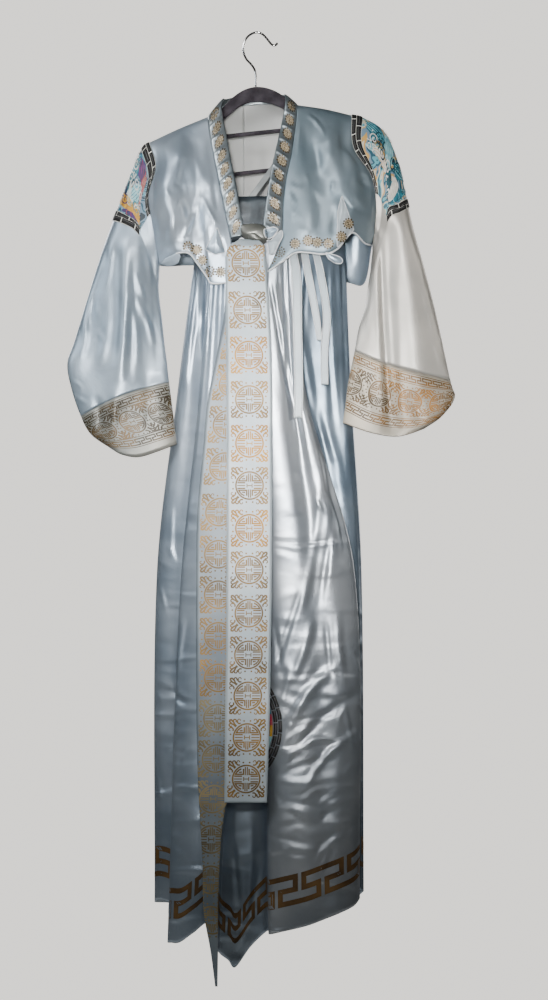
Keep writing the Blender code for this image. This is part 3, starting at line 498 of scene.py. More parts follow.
def cloth_piece(name, sheet, material, nodes=(), thickness=1.1, inner=None, plain_below=None):
    """A thin shell of cloth through a sheet's points. inner is the finish of its inner side,
    down to the height plain_below."""
    flat, faces = sheet.points.reshape(-1, 3), sheet.faces()
    indices = None
    materials = [material] if inner is None else [material, inner, material, material]
    if plain_below is not None:
        indices = np.where(flat[faces[:, 0], 2] < plain_below, 2, 0)
    body = mesh_object(name, flat, faces, materials, indices)
    along = lengths(sheet.points)
    across = lengths(sheet.points.transpose(1, 0, 2)).T
    n, m = sheet.points.shape[:2]
    layer = body.data.uv_layers.new(name="cloth")
    loops = np.zeros(len(body.data.loops), np.int32)
    body.data.loops.foreach_get("vertex_index", loops)
    u = np.broadcast_to(along[:, m // 2][:, None], (n, m)).ravel()[loops]
    v = np.broadcast_to(across[n // 2][None], (n, m)).ravel()[loops]
    layer.data.foreach_set("uv", np.stack([u, v], axis=1).ravel() * MM)
    shell = shelled(body, thickness)
    if inner is not None:
        shell.material_offset = 1
    settled(body, nodes)


def tube(name, path, radius, material, nodes=(), sides=8):
    """A round cord along a path."""
    path = np.asarray(path, float)
    tangents = np.gradient(path, axis=0)
    tangents /= np.linalg.norm(tangents, axis=1, keepdims=True)
    reference = np.array([0.0, 1.0, 0.0])
    side = np.cross(tangents, reference)
    side /= np.linalg.norm(side, axis=1, keepdims=True)
    up = np.cross(side, tangents)
    angles = np.arange(sides) * 2 * np.pi / sides
    radii = np.broadcast_to(np.asarray(radius, float), (len(path),))
    rings = (path[:, None] + radii[:, None, None]
             * (side[:, None] * np.cos(angles)[None, :, None] + up[:, None] * np.sin(angles)[None, :, None]))
    faces = ring_faces(len(path), sides)
    faces.append(tuple(range(sides - 1, -1, -1)))
    faces.append(tuple((len(path) - 1) * sides + j for j in range(sides)))
    settled(mesh_object(name, rings.reshape(-1, 3), faces, [material]), nodes)


# Flat shapes of the prints

def pairs(first, second):
    """Places from their two coordinates."""
    return np.stack([first, second], axis=1)


def stroke(line, width, step=4.0, closed=False):
    """A band of even width along a line: four-sided faces that meet at mitred corners."""
    line = np.asarray(line, float)
    if closed:
        before, after = np.roll(line, 1, axis=0), np.roll(line, -1, axis=0)
    else:
        before = np.vstack([line[0] * 2 - line[1], line[:-1]])
        after = np.vstack([line[1:], line[-1] * 2 - line[-2]])
    first, second = line - before, after - line
    first /= np.linalg.norm(first, axis=1, keepdims=True)
    second /= np.linalg.norm(second, axis=1, keepdims=True)
    bisector = first + second
    bisector /= np.linalg.norm(bisector, axis=1, keepdims=True)
    square = pairs(-bisector[:, 1], bisector[:, 0])
    mitre = np.sum(square * pairs(-first[:, 1], first[:, 0]), axis=1, keepdims=True)
    offset = square * (width / 2) / np.maximum(mitre, 0.35)
    left, right = line + offset, line - offset
    count = len(line) if closed else len(line) - 1
    faces = []
    for k in range(count):
        q = (k + 1) % len(line)
        parts = max(1, math.ceil(np.linalg.norm(line[q] - line[k]) / step))
        for part in range(parts):
            s, t = part / parts, (part + 1) / parts
            faces.append(np.array([left[k] * (1 - s) + left[q] * s, right[k] * (1 - s) + right[q] * s,
                                   right[k] * (1 - t) + right[q] * t, left[k] * (1 - t) + left[q] * t]))
    return faces


def arc(x, y, radius, start, end, width, count=None):
    """A stroke along part of a circle, between two angles in degrees."""
    count = count or max(3, int(abs(end - start) / 360 * max(12, radius * 2)))
    closed = abs(end - start) >= 360
    angles = np.radians(np.linspace(start, end, count + 1))
    if closed:
        angles = angles[:-1]
    line = pairs(x + radius * np.cos(angles), y + radius * np.sin(angles))
    return stroke(line, width, closed=closed, step=99)


def dot(x, y, radius, sides=6):
    """One flat round shape."""
    angles = np.arange(sides) * 2 * np.pi / sides
    return [pairs(x + radius * np.cos(angles), y + radius * np.sin(angles))]


def turned(faces, angle=0.0, scale=1.0, x=0.0, y=0.0, mirror=False):
    """Shapes turned by an angle in degrees, scaled and moved."""
    c, s = math.cos(math.radians(angle)) * scale, math.sin(math.radians(angle)) * scale
    made = []
    for face in faces:
        u = -face[:, 0] if mirror else face[:, 0]
        moved = pairs(c * u - s * face[:, 1] + x, s * u + c * face[:, 1] + y)
        made.append(moved[::-1] if mirror else moved)
    return made


def four_ways(faces):
    """Shapes of one quarter and their mirror images in the other three."""
    upper = faces + turned(faces, mirror=True)
    return upper + turned(upper, angle=180)


def longevity_round():
    """A round longevity mark 48 mm across, of even strokes."""
    quarter = stroke([(4.9, 17.8), (4.9, 8.2), (18.6, 8.2), (16.8, 11.6), (13.2, 15.2), (8.6, 17.6)], 2.6)
    quarter += stroke([(8.8, 13.2), (8.8, 11.6), (13.0, 11.6)], 2.3)
    quarter += stroke([(21.0, 4.9), (7.4, 4.9)], 2.5)
    mark = four_ways(quarter)
    for x in (-1.7, 1.7):
        mark += stroke([(x, 21.0), (x, 6.6)], 2.1)
        mark += stroke([(x, -21.0), (x, -6.6)], 2.1)
    for side in (-1, 1):
        mark += stroke([(side * 4.4, 3.6), (side * 4.4, -3.6)], 1.7)
        mark += stroke([(side * 7.4, 0), (side * 21.4, 0)], 1.8)
    mark += stroke([(-3.5, 0), (3.5, 0)], 1.7)
    mark += arc(0, 0, 23.6, 0, 360, 2.8, 48)
    return mark


def corner_scroll():
    """A pair of cloud curls that points out of the upper right corner."""
    half = stroke([(18.2, 19.8), (21.4, 22.0), (23.4, 26.4), (27.6, 30.6), (30.8, 30.2)], 2.9)
    half += arc(21.6, 28.8, 2.6, -30, 230, 2.4, 9)
    half += stroke([(11.2, 24.4), (14.4, 24.0), (17.2, 26.2), (17.0, 29.8)], 2.6)
    half += arc(14.2, 29.6, 2.3, 0, 200, 1.7, 6)
    other = [face[:, ::-1][::-1] for face in half]
    return half + other


def square_motif():
    """The round mark with scrolls in its four corners, 63 mm across."""
    motif = longevity_round() + four_ways(corner_scroll())
    for x in (-5.5, 5.5):
        for y in (-28.6, 28.6):
            motif += dot(x, y, 1.7)
            motif += dot(y, x, 1.7)
    return motif


def small_medallion():
    """A ring of petals round a flower-like longevity mark, 21 mm across."""
    mark = []
    for step in range(11):
        angle = 2 * math.pi * step / 11
        mark += dot(8.9 * math.cos(angle), 8.9 * math.sin(angle), 1.9, 7)
    mark += arc(0, 0, 5.4, 0, 360, 1.1, 18)
    mark += stroke([(0, 4.4), (0, -4.4)], 1.4)
    mark += stroke([(-3.6, 2.0), (3.6, 2.0)], 1.2) + stroke([(-3.6, -2.0), (3.6, -2.0)], 1.2)
    return mark


def medallion_ground():
    """The pale thread under a small medallion."""
    return dot(0, 0, 7.6, 16)


def fret(period, height, width, periods):
    """A running key fret along x, as one line that never stops."""
    top, middle, bottom = height / 2, 0.0, -height / 2
    line = []
    for index in range(periods):
        for share, y in ((0.0, top), (0.0, middle), (-0.32, middle), (-0.32, bottom),
                         (0.50, bottom), (0.50, middle), (0.18, middle), (0.18, top)):
            line.append(((index + share) * period, y))
    line.append((periods * period, top))
    return stroke(line, width, step=5.0)


class Ruler:
    """Finds grid places for points given in millimetres: a along the first index, b along
    the second, from its start, its middle or its end."""

    def __init__(self, sheet, origin="start", reference=0.5):
        self.sheet = sheet
        points = sheet.points
        if sheet.closed:
            points = np.concatenate([points, points[:, :1]], axis=1)
        columns = points.shape[1]
        self.along = lengths(points)[:, int(reference * (columns - 1))]
        across = lengths(points.transpose(1, 0, 2)).T
        total = across[:, -1:]
        shift = {"start": 0.0, "middle": total / 2, "end": total}[origin]
        self.across = across - shift
        self.total = total

    def find(self, a, b):
        """Fractional grid places of points (a, b)."""
        rows = len(self.along)
        i = np.interp(a, self.along, np.arange(rows))
        i0 = np.clip(np.floor(i).astype(int), 0, rows - 2)
        columns = np.arange(self.across.shape[1])
        j = np.empty(len(i))
        for k in range(len(i)):
            row = self.across[i0[k]] * (i0[k] + 1 - i[k]) + self.across[i0[k] + 1] * (i[k] - i0[k])
            j[k] = np.interp(b[k], row, columns)
        return i, j

    def put(self, shape, lift):
        """Points of a shape, lifted off the cloth."""
        i, j = self.find(shape[:, 0], shape[:, 1])
        return self.sheet.place(i, j, lift)


def printed(name, points, above, shapes, material):
    """A thin print: faces given by their shapes' sizes, and points already on the cloth. above
    are the same points a little further out, which say which way the faces look."""
    points, above = np.asarray(points), np.asarray(above)
    faces = []
    start = 0
    for shape in shapes:
        face = np.arange(start, start + len(shape))
        start += len(shape)
        corners = points[face]
        middle = corners - corners.mean(axis=0)
        normal = np.cross(middle, np.roll(middle, -1, axis=0)).sum(axis=0)
        if np.dot(normal, above[face[0]] - corners[0]) < 0:
            face = face[::-1]
        faces.append(face.tolist())
    settled(mesh_object(name, points, faces, [material]))


class FrontView:
    """Lays shapes given as (x, z) on a sheet, as the front view sees it."""

    def __init__(self, sheet):
        points = [Vector(point) for point in sheet.points.reshape(-1, 3)]
        self.tree = BVHTree.FromPolygons(points, [list(map(int, face)) for face in sheet.faces()])

    def hit(self, x, z):
        """The cloth's point and normal at a place of the front view, or None."""
        place, normal, _, _ = self.tree.ray_cast(Vector((x, -400.0, z)), Vector((0, 1, 0)))
        if place is None:
            return None
        return np.array(place), np.array(-normal if normal.y > 0 else normal)

    def depth(self, x, z, guess=-60.0):
        """Depth of the cloth at a place, or of the cloth nearest to it."""
        found = self.hit(x, z)
        if found is not None:
            return found[0][1]
        return self.tree.find_nearest(Vector((x, guess, z)))[0].y


def front_print(name, view, shapes, lift, material):
    """A print of shapes given as (x, z). Shapes that miss the cloth are left out."""
    points, above, kept = [], [], []
    for shape in shapes:
        found = [view.hit(x, z) for x, z in shape]
        if any(place is None for place in found):
            continue
        points += [place + normal * lift for place, normal in found]
        above += [place + normal * (lift + 1) for place, normal in found]
        kept.append(shape)
    printed(name, points, above, kept, material)


def pads(name, put, shapes, low, high, material, share=0.8):
    """Raised pads of thread: each shape stands on the cloth and closes in towards its top."""
    points, faces = [], []
    for shape in shapes:
        foot = put(shape, low)
        top = put(shape.mean(axis=0) + (shape - shape.mean(axis=0)) * share, high)
        if foot is None or top is None:
            continue
        base, count = len(points), len(shape)
        points += list(foot) + list(top)
        faces += ring_faces(2, count, base)
        faces.append(tuple(base + count + k for k in range(count)))
    settled(mesh_object(name, points, faces, [material]))


def closed_line(corners, step=2.5):
    """Even points round an outline, a little rounded at its corners, the shorter way round."""
    corners = np.asarray(corners, float)
    after = np.roll(corners, -1, axis=0)
    if np.sum(corners[:, 0] * after[:, 1] - corners[:, 1] * after[:, 0]) < 0:
        corners = corners[::-1]
    ring = np.vstack([corners, corners[:1]])
    along = lengths(ring[:, None])[:, 0]
    at = np.arange(0, along[-1], step)
    line = np.stack([np.interp(at, along, ring[:, k]) for k in (0, 1)], axis=1)
    return (np.roll(line, 1, axis=0) + 2 * line + np.roll(line, -1, axis=0)) / 4


FLAP_SHARES = (1.0, 0.9, 0.75, 0.55, 0.35, 0.15)    # sizes of a flap's rings
FLAP_THICKNESS = 0.8


def flap(name, view, corners, lift, bulge, material, slot="satin", edge=0.7):
    """A small piece of cloth turned over onto the garment, from its outline in the front view,
    with a white edge of the given radius round it."""
    line = closed_line(corners)
    centre = line.mean(axis=0)
    count = len(line)
    points = []
    for share in FLAP_SHARES:
        for x, z in centre + (line - centre) * share:
            points.append((x, view.depth(x, z) - lift - bulge * (1 - share**2), z))
    points.append((centre[0], view.depth(*centre) - lift - bulge, centre[1]))
    faces = ring_faces(len(FLAP_SHARES), count)
    last = (len(FLAP_SHARES) - 1) * count
    faces += [(last + k, last + (k + 1) % count, len(points) - 1) for k in range(count)]
    body = mesh_object(name, points, faces, [material])
    shelled(body, FLAP_THICKNESS)
    settled(body)
    if edge:
        tube(name + "_edge", np.array(points[:count] + points[:1]), edge, "piping")


# Materials

def colour_of(red, green, blue):
    """A colour from its 0 to 255 screen values."""
    return tuple((value / 255)**2.2 for value in (red, green, blue)) + (1.0,)


DRIFT_STOPS = (0.36, 0.66)      # places of the two colours on the drift's ramp
SHEEN_ROUGHNESS = 0.4
CRUMPLE_TOP = -0.62     # the skirt's sharp small creases start at this height, and are
CRUMPLE_FOOT = -1.15    # full at this one
CRUMPLE_TURN = 34       # degrees by which they lean
CRUMPLE_STRETCH = 3.2   # how much closer together they lie across than along


finishes = {}           # the materials by their names, which is how pieces ask for them


def added(tree, kind, vector=None, **values):
    """A new node of a material, with the values of its inputs and what feeds its vector."""
    node = tree.nodes.new("ShaderNode" + kind)
    for label, value in values.items():
        node.inputs[label].default_value = value
    if vector is not None:
        tree.links.new(vector, node.inputs["Vector"])
    return node


def bumped(tree, height, strength, distance, under=None):
    """A bump node of a height, in millimetres, over the bump under it."""
    bump = added(tree, "Bump", Strength=strength, Distance=distance * MM)
    tree.links.new(height, bump.inputs["Height"])
    if under is not None:
        tree.links.new(under.outputs["Normal"], bump.inputs["Normal"])
    return bump


def crumpled(tree, place, distance, under):
    """The bump of sharp ridges that grow towards the hem."""
    turn = added(tree, "Mapping", place, Rotation=(0, math.radians(CRUMPLE_TURN), 0),
                 Scale=(1.0, 1.0, CRUMPLE_STRETCH))
    ridges = added(tree, "TexNoise", turn.outputs["Vector"])
    ridges.noise_type = "RIDGED_MULTIFRACTAL"
    for label, value in (("Scale", 8.0), ("Detail", 3.0), ("Distortion", 0.7)):
        ridges.inputs[label].default_value = value
    apart = added(tree, "SeparateXYZ", place)
    fade = added(tree, "MapRange")
    fade.inputs["From Min"].default_value = CRUMPLE_TOP
    fade.inputs["From Max"].default_value = CRUMPLE_FOOT
    tree.links.new(apart.outputs["Z"], fade.inputs["Value"])
    share = added(tree, "Math")
    share.operation = "MULTIPLY"
    tree.links.new(ridges.outputs["Fac"], share.inputs[0])
    tree.links.new(fade.outputs["Result"], share.inputs[1])
    return bumped(tree, share.outputs["Value"], 0.8, distance, under)


def finish_of(name, first, second, rough, metal=0.0, sheen=0.0, mottle=9.0,
              grain=1400.0, grain_height=0.06, crinkle=0.0, crinkle_scale=28.0, crumple=0.0):
    """A material whose colour drifts between two screen colours, with a fine grain, soft
    crinkles and sharp small creases."""
    material = bpy.data.materials.new(name)
    material.use_nodes = True
    tree = material.node_tree
    shader = tree.nodes["Principled BSDF"]
    shader.inputs["Roughness"].default_value = rough
    shader.inputs["Metallic"].default_value = metal
    shader.inputs["Sheen Weight"].default_value = sheen
    shader.inputs["Sheen Roughness"].default_value = SHEEN_ROUGHNESS
    place = added(tree, "TexCoord").outputs["Object"]
    drift = added(tree, "TexNoise", place, Scale=mottle, Detail=4.0)
    ramp = added(tree, "ValToRGB")
    for element, stop, colour in zip(ramp.color_ramp.elements, DRIFT_STOPS, (first, second)):
        element.position, element.color = stop, colour_of(*colour)
    tree.links.new(drift.outputs["Fac"], ramp.inputs["Fac"])
    tree.links.new(ramp.outputs["Color"], shader.inputs["Base Color"])
    fine = added(tree, "TexNoise", place, Scale=grain, Detail=2.0)
    last = bumped(tree, fine.outputs["Fac"], 0.5, grain_height)
    if crinkle:
        soft = added(tree, "TexNoise", place, Scale=crinkle_scale, Detail=3.0, Distortion=0.6)
        last = bumped(tree, soft.outputs["Fac"], 0.6, crinkle, last)
    if crumple:
        last = crumpled(tree, place, crumple, last)
    tree.links.new(last.outputs["Normal"], shader.inputs["Normal"])
    finishes[name] = material


SWIRL_STOPS = (0.3, 0.68)       # range of the noise that the swirls' colours share
SATIN_SHEEN = dict(rough=0.4, metal=0.65, crinkle=1.4, crinkle_scale=18.0)


def swirled(name, colours, scale):
    """Embroidery whose thread changes colour in wave-like swirls, with a fine grain."""
    finish_of(name, colours[0], colours[1], 0.5, sheen=0.1)
    tree = finishes[name].node_tree
    place = added(tree, "TexCoord").outputs["Object"]
    swirl = added(tree, "TexNoise", place, Scale=scale, Detail=1.5, Distortion=2.2)
    ramp = added(tree, "ValToRGB")
    ramp.color_ramp.interpolation = "CONSTANT"
    steps = np.linspace(*SWIRL_STOPS, len(colours))
    for element, stop, colour in zip(ramp.color_ramp.elements, (0.0, steps[1]), colours):
        element.position, element.color = stop, colour_of(*colour)
    for step, colour in zip(steps[2:], colours[2:]):
        ramp.color_ramp.elements.new(step).color = colour_of(*colour)
    tree.links.new(swirl.outputs["Fac"], ramp.inputs["Fac"])
    tree.links.new(ramp.outputs["Color"], tree.nodes["Principled BSDF"].inputs["Base Color"])


# Name, two screen colours, roughness, metal, sheen, and how closely the colours drift.
PLAIN_FINISHES = (
    ("collar_satin", (106, 116, 122), (136, 145, 150), 0.32, 0.7, 0.0, 9.0),
    ("ribbon_satin", (146, 158, 166), (170, 180, 186), 0.48, 0.2, 0.0, 9.0),
    # Darker copy of the ribbon satin for the back tie: painted shade.
    ("shaded_ribbon", (93, 103, 112), (119, 129, 136), 0.48, 0.2, 0.0, 9.0),
    ("lining", (182, 184, 184), (200, 202, 201), 0.6, 0.05, 0.0, 9.0),
    ("piping", (206, 210, 214), (224, 227, 230), 0.5, 0.0, 0.0, 60),
    ("gold_thread", (84, 66, 28), (146, 112, 52), 0.5, 0.1, 0.0, 14),
    ("warm_thread", (128, 88, 0), (174, 124, 6), 0.5, 0.1, 0.0, 14),
    ("cuff_thread", (44, 35, 16), (118, 88, 40), 0.5, 0.1, 0.0, 14),
    ("warm_cuff_thread", (62, 48, 22), (150, 102, 34), 0.5, 0.1, 0.0, 14),
    ("bronze_thread", (74, 56, 34), (110, 85, 53), 0.45, 0.3, 0.0, 22),
    ("black_thread", (3, 3, 4), (10, 10, 12), 0.7, 0.0, 0.0, 90),
    ("white_thread", (196, 196, 190), (224, 223, 217), 0.6, 0.0, 0.2, 90),
    ("teal_thread", (8, 70, 88), (38, 122, 138), 0.5, 0.0, 0.0, 90),
    ("aqua_thread", (112, 178, 192), (160, 208, 214), 0.5, 0.0, 0.1, 90),
    ("pink_thread", (126, 16, 36), (178, 60, 82), 0.5, 0.0, 0.0, 60),
    ("purple_thread", (26, 5, 62), (60, 20, 100), 0.5, 0.0, 0.0, 90),
    ("mustard_thread", (164, 116, 10), (206, 158, 38), 0.5, 0.1, 0.0, 90),
    ("grey_thread", (78, 78, 82), (110, 110, 113), 0.6, 0.0, 0.1, 90),
    ("dark_teal_thread", (8, 40, 50), (22, 74, 84), 0.5, 0.0, 0.0, 90),
    ("olive_thread", (44, 38, 24), (92, 76, 46), 0.5, 0.1, 0.0, 50),
    ("pale_olive_thread", (82, 74, 50), (134, 120, 84), 0.5, 0.1, 0.0, 14),
    ("blush_thread", (150, 136, 110), (188, 174, 148), 0.5, 0.1, 0.0, 50),
    # Darker satin for the knot and the fold beside it: painted shade.
    ("dark_satin", (92, 94, 90), (124, 124, 118), 0.34, 0.4, 0.0, 20),
    ("strap_cotton", (122, 127, 129), (150, 155, 156), 0.6, 0.05, 0.0, 30),
    ("floor_finish", (214, 211, 205), (222, 219, 213), 0.9, 0.0, 0.0, 1.5),
)
for row in PLAIN_FINISHES:
    finish_of(*row)
finish_of("satin", (138, 156, 172), (164, 179, 193), **SATIN_SHEEN)
# Lighter copy of the satin for the left front: painted light.
finish_of("left_front_satin", (156, 172, 188), (182, 195, 208), **SATIN_SHEEN)
# Darker copy of the satin for the right front: painted shade.
finish_of("right_front_satin", (104, 120, 130), (126, 140, 149), 0.44, 0.5, crinkle=1.4, crinkle_scale=18.0)
# Warmer, lighter copy of the satin for the right sleeve: painted warm light from the right.
finish_of("warm_satin", (164, 162, 157), (184, 181, 175), 0.45, 0.5, crinkle=1.2, crinkle_scale=18.0)
finish_of("skirt_satin", (126, 140, 155), (154, 166, 179), crumple=6.5, rough=0.38, metal=0.7, crinkle=1.6,
          crinkle_scale=16.0)
# Darker copy of the skirt satin for the right side width: painted shade.
finish_of("shaded_skirt", (98, 113, 128), (126, 140, 154), crumple=6.5, rough=0.38, metal=0.7, crinkle=1.6,
          crinkle_scale=16.0)
# Paler, warmer copy of the skirt satin for the front right width: painted light.
finish_of("pale_skirt", (138, 146, 155), (164, 170, 177), crumple=7.0, rough=0.37, metal=0.72, crinkle=1.6,
          crinkle_scale=16.0)
finish_of("cuff_satin_left", (104, 107, 104), (140, 139, 132), 0.45, 0.35, crinkle=1.6, crinkle_scale=16.0)
finish_of("cuff_satin_right", (140, 135, 124), (168, 160, 145), 0.5, 0.3, crinkle=1.6, crinkle_scale=16.0)
# Nearly black cloth for the chest band: painted shadow between the collars.
finish_of("cotton", (30, 36, 41), (54, 62, 68), 0.42, 0.4, mottle=30, crinkle=2.0)
finish_of("sleeve_satin", (130, 145, 159), (155, 168, 180), 0.42, 0.6, crinkle=1.3, crinkle_scale=18.0)
finish_of("velvet", (46, 42, 48), (70, 65, 72), 0.95, 0.0, 0.35, mottle=60, grain=2200, grain_height=0.5)
finish_of("chrome", (196, 197, 200), (220, 221, 223), 0.12, 1.0, mottle=40, grain=600, grain_height=0.004)
TEAL, AQUA, CREAM = (8, 76, 94), (84, 158, 174), (204, 200, 178)
SLATE, DEEP, GOLDEN = (104, 132, 154), (6, 38, 50), (196, 154, 80)
swirled("left_field", (DEEP, TEAL, AQUA, SLATE, TEAL, SLATE, DEEP, TEAL), 17)
swirled("right_field", (DEEP, TEAL, AQUA, CREAM, GOLDEN, SLATE, TEAL, AQUA, DEEP), 16)


# Jacket

RING_HALF = 72         # steps of the jacket's cloth from a sleeve's outer fold to its inner edge
RING_STEPS = 10        # steps between two rings of the sleeve tables
PANEL_STEPS = 76       # steps across a front panel
NECK_STEPS = 34        # further steps across a back panel
COLLAR_STEPS = 12
COLLAR_MARKS = 9       # round marks down a collar band
COLLAR_FIRST = 18.0    # from the shoulder to the first of them
COLLAR_PITCH = 27.0
COLLAR_END = bunched(np.array([0.7]))[0]   # share of the seam where the collar band ends
CLOTH_SHARES = bunched(np.linspace(0, 1, RING_HALF + 1))
SLEEVE_CREASING = 1.2  # how much fuller the creases of the sleeves are
LINING_FOOT = -296.0   # height where the pale lining gives way to satin inside the back
CUFF_FRET_PERIOD = 20.0
CUFF_FRET_HEIGHT = 10.0
CUFF_STROKE = 2.5
CUFF_LINE = 1.3        # width of the lines beside a fret
CUFF_LINE_AT = 0.85    # their distance from its middle, as a share of its height
CUFF_TOP = 4.0         # plain cloth above the upper fret
CUFF_EDGE = 16.0       # plain cloth below the lower fret
CUFF_MARK_PITCH = 55.0
CUFF_MARK_SCALE = 0.86
CUFF_DOTS = (-24, -12, 0, 12, 24)      # heights of the dots between two marks
CUFF_LIFT = 0.16       # of the prints off the cloth
GROUND_LIFT = 0.15
MARK_LIFT = 0.35
COLLAR_THICKNESS = 2.0
COLLAR_CUSHION = 1.0   # height of the band's middle over its edges
COLLAR_PUCKER = 1.5    # and of its puckers between two marks
COLLAR_RIPPLE = 0.5
COLLAR_RIPPLE_LENGTH = 9.0
HEM_EDGE_RADIUS = 1.5
HEM_EDGE_DROP = 1.2


def sleeve_cloth(table, folds, outward, creases):
    """A sleeve's closed cloth, round from its outer fold along the front."""
    values = through(table, (len(table) - 1) * RING_STEPS + 1)
    order = np.concatenate([CLOTH_SHARES, CLOTH_SHARES[-2:0:-1]])
    side = np.concatenate([-np.ones(RING_HALF + 1), np.ones(RING_HALF - 1)])
    bulge = np.sqrt(1 - np.abs(2 * order - 1)**SLEEVE_ROUNDNESS)
    points = np.empty((len(values), len(order), 3))
    for index, ring in enumerate(values):
        places = [(step / 4, ring[2 * step], ring[2 * step + 1]) for step in range(5)]
        points[index][:, [0, 2]] = hermite(places, order)
        points[index][:, 1] = ring[10] + side * ring[11] * bulge
    weight = np.broadcast_to(side * np.minimum(1.5 * bulge, 1), points.shape[:2])
    sheet = Sheet(folded(points, weight, folds), outward, closed=True)
    sheet.crease(creases["front"], np.where(weight < 0, -SLEEVE_CREASING * weight, 0))
    return sheet.crease(creases["back"], np.where(weight > 0, SLEEVE_CREASING * weight, 0))


def layer(sheet, i_range, j_range, lift, i_steps, j_steps):
    """A sheet that lies on part of another one."""
    i, j = np.meshgrid(np.linspace(*i_range, i_steps + 1), np.linspace(*j_range, j_steps + 1), indexing="ij")
    points = sheet.place(i.ravel(), j.ravel(), lift).reshape(i_steps + 1, j_steps + 1, 3)
    return Sheet(points, sheet.outward)


LEFT_FRONT_CREASES = (
    (-132, -177, -149, -270, 6, 4.5, 15), (-105, -189, -95, -292, -4, -3.5, 12),
    (-97, -292, -131, -372, 0, 4.5, 6), (-97, -292, -69, -345, 0, 3.5, 5), (-104, -314, -99, -368, 0, -4, 12),
    (-169, -310, -174, -398, 3, 4.5, 10), (-184, -251, -181, -334, 0, -3, 8),
    (-148, -310, -156, -378, 4, 3.5, 9), (-85, -319, -70, -344, 2, 2, 3), (-92, -335, -73, -346, 2, 1.8, 3),
    (-60, -251, -54, -334, 0, 2.5, 6), (-164, -204, -112, -178, 6, 2, 12), (-144, -265, -130, -291, 6, -2, 6),
    (-158, -275, -143, -298, -5, 1.8, 6), (-134, -297, -149, -319, 3, 1.5, 5),
    (-112, -221, -97, -265, 4, 2.5, 9), (-75, -265, -67, -339, 0, -3, 8), (-161, -378, -144, -398, 0, 2, 6),
    (-80, -359, -85, -398, 0, 2.5, 5), (-65, -359, -54, -398, 0, -2, 5),
)
RIGHT_FRONT_CREASES = (
    (88, -145, 119, -183, 4, 3.5, 5), (127, -167, 120, -255, 5, 5, 14), (155, -157, 156, -268, -4, -5, 12),
    (56, -269, 88, -276, -6, 3, 5), (81, -250, 91, -278, 3, 2, 5), (92, -286, 107, -311, 4, -2.2, 8),
    (49, -290, 71, -310, 4, 2.6, 5), (52, -265, 62, -339, 0, 2, 9), (93, -300, 87, -371, 4, 2.5, 14),
    (117, -290, 111, -374, -3, -3, 14), (147, -294, 140, -371, 0, 4, 5), (148, -292, 185, -325, -4, 4, 6),
    (171, -222, 201, -252, 5, 3, 10), (175, -256, 201, -286, 4, -5, 10), (161, -201, 206, -314, 6, 3, 10),
    (53, -315, 78, -334, 4, 2, 4), (46, -335, 63, -350, 2, 1.6, 4), (74, -160, 77, -241, 0, 2.5, 10),
    (99, -192, 104, -265, 3, -3, 10), (133, -265, 131, -290, 0, 2.5, 6), (136, -324, 128, -368, 0, -2.5, 8),
    (65, -349, 92, -359, 3, 1.5, 6),
)
LEFT_SLEEVE_CREASES = (
    (-231, -364, -239, -616, 5, 6.5, 13), (-218, -398, -227, -616, 3, -3.5, 10),
    (-223, -451, -182, -548, 6, 3, 6), (-225, -447, -209, -587, 4, 2.6, 6), (-217, -418, -197, -479, 3, 2, 5),
    (-274, -418, -290, -528, -6, -3.5, 14), (-262, -447, -275, -587, 6, 3.5, 12),
    (-328, -613, -305, -624, 2, 1.6, 4), (-325, -634, -297, -649, -3, 2, 4),
    (-315, -654, -306, -625, 0, 1.5, 4), (-284, -525, -268, -546, 3, 1.6, 5),
    (-285, -476, -273, -498, -2, 1.5, 5), (-174, -398, -169, -594, 0, -3.5, 14),
    (-301, -496, -311, -575, 4, 2.5, 8), (-257, -368, -264, -447, 3, 2.5, 8), (-294, -447, -306, -526, 0, 2, 8),
    (-196, -378, -186, -447, 2, 1.8, 6), (-247, -624, -251, -717, 0, 3, 10),
    (-282, -639, -274, -707, 3, -3, 10), (-193, -594, -187, -707, 0, -2.5, 12),
)
RIGHT_SLEEVE_CREASES = (
    (217, -359, 234, -695, -3, -5, 7), (240, -398, 254, -693, 0, 3, 12), (206, -378, 222, -683, 0, 2.5, 8),
    (259, -324, 309, -548, 8, 2.2, 16), (195, -398, 185, -545, -4, -2.4, 12), (189, -397, 193, -458, 2, 1.6, 4),
    (283, -447, 318, -594, 0, -2, 12), (273, -359, 293, -447, 4, 1.6, 7), (300, -535, 327, -599, 3, 1.5, 6),
    (180, -575, 200, -688, 0, 2, 10), (268, -624, 288, -693, 0, -2.5, 12), (200, -339, 210, -378, 2, -2, 6),
)
SKIRT_TOP_CREASES = (
    (-105, -422, -120, -545, 6, 4, 9), (-97, -429, -100, -575, 0, -11, 7), (-112, -425, -128, -620, 4, 8, 7),
    (22, -440, 62, -660, 0, -11, 5), (70, -620, 128, -880, 6, 8, 9), (88, -620, 150, -930, 8, -9, 12),
    (-85, -429, -79, -545, -4, 3.4, 8), (-119, -442, -134, -643, 5, 3, 10), (-90, -545, -105, -786, 0, 3, 12),
    (-65, -476, -85, -693, 3, -2.5, 10), (38, -427, 77, -594, 0, -3, 8), (52, -418, 101, -683, 6, 3.6, 8),
    (77, -535, 116, -786, 4, 3.4, 8), (92, -643, 143, -786, 0, -3, 8), (121, -476, 141, -742, -4, -4, 12),
    (142, -418, 153, -653, 0, -5, 10), (155, -447, 165, -786, 0, 3.6, 8), (33, -545, 87, -786, -4, 3, 9),
    (104, -476, 126, -683, 3, 3.4, 7), (148, -594, 160, -786, 0, 3, 7),
)
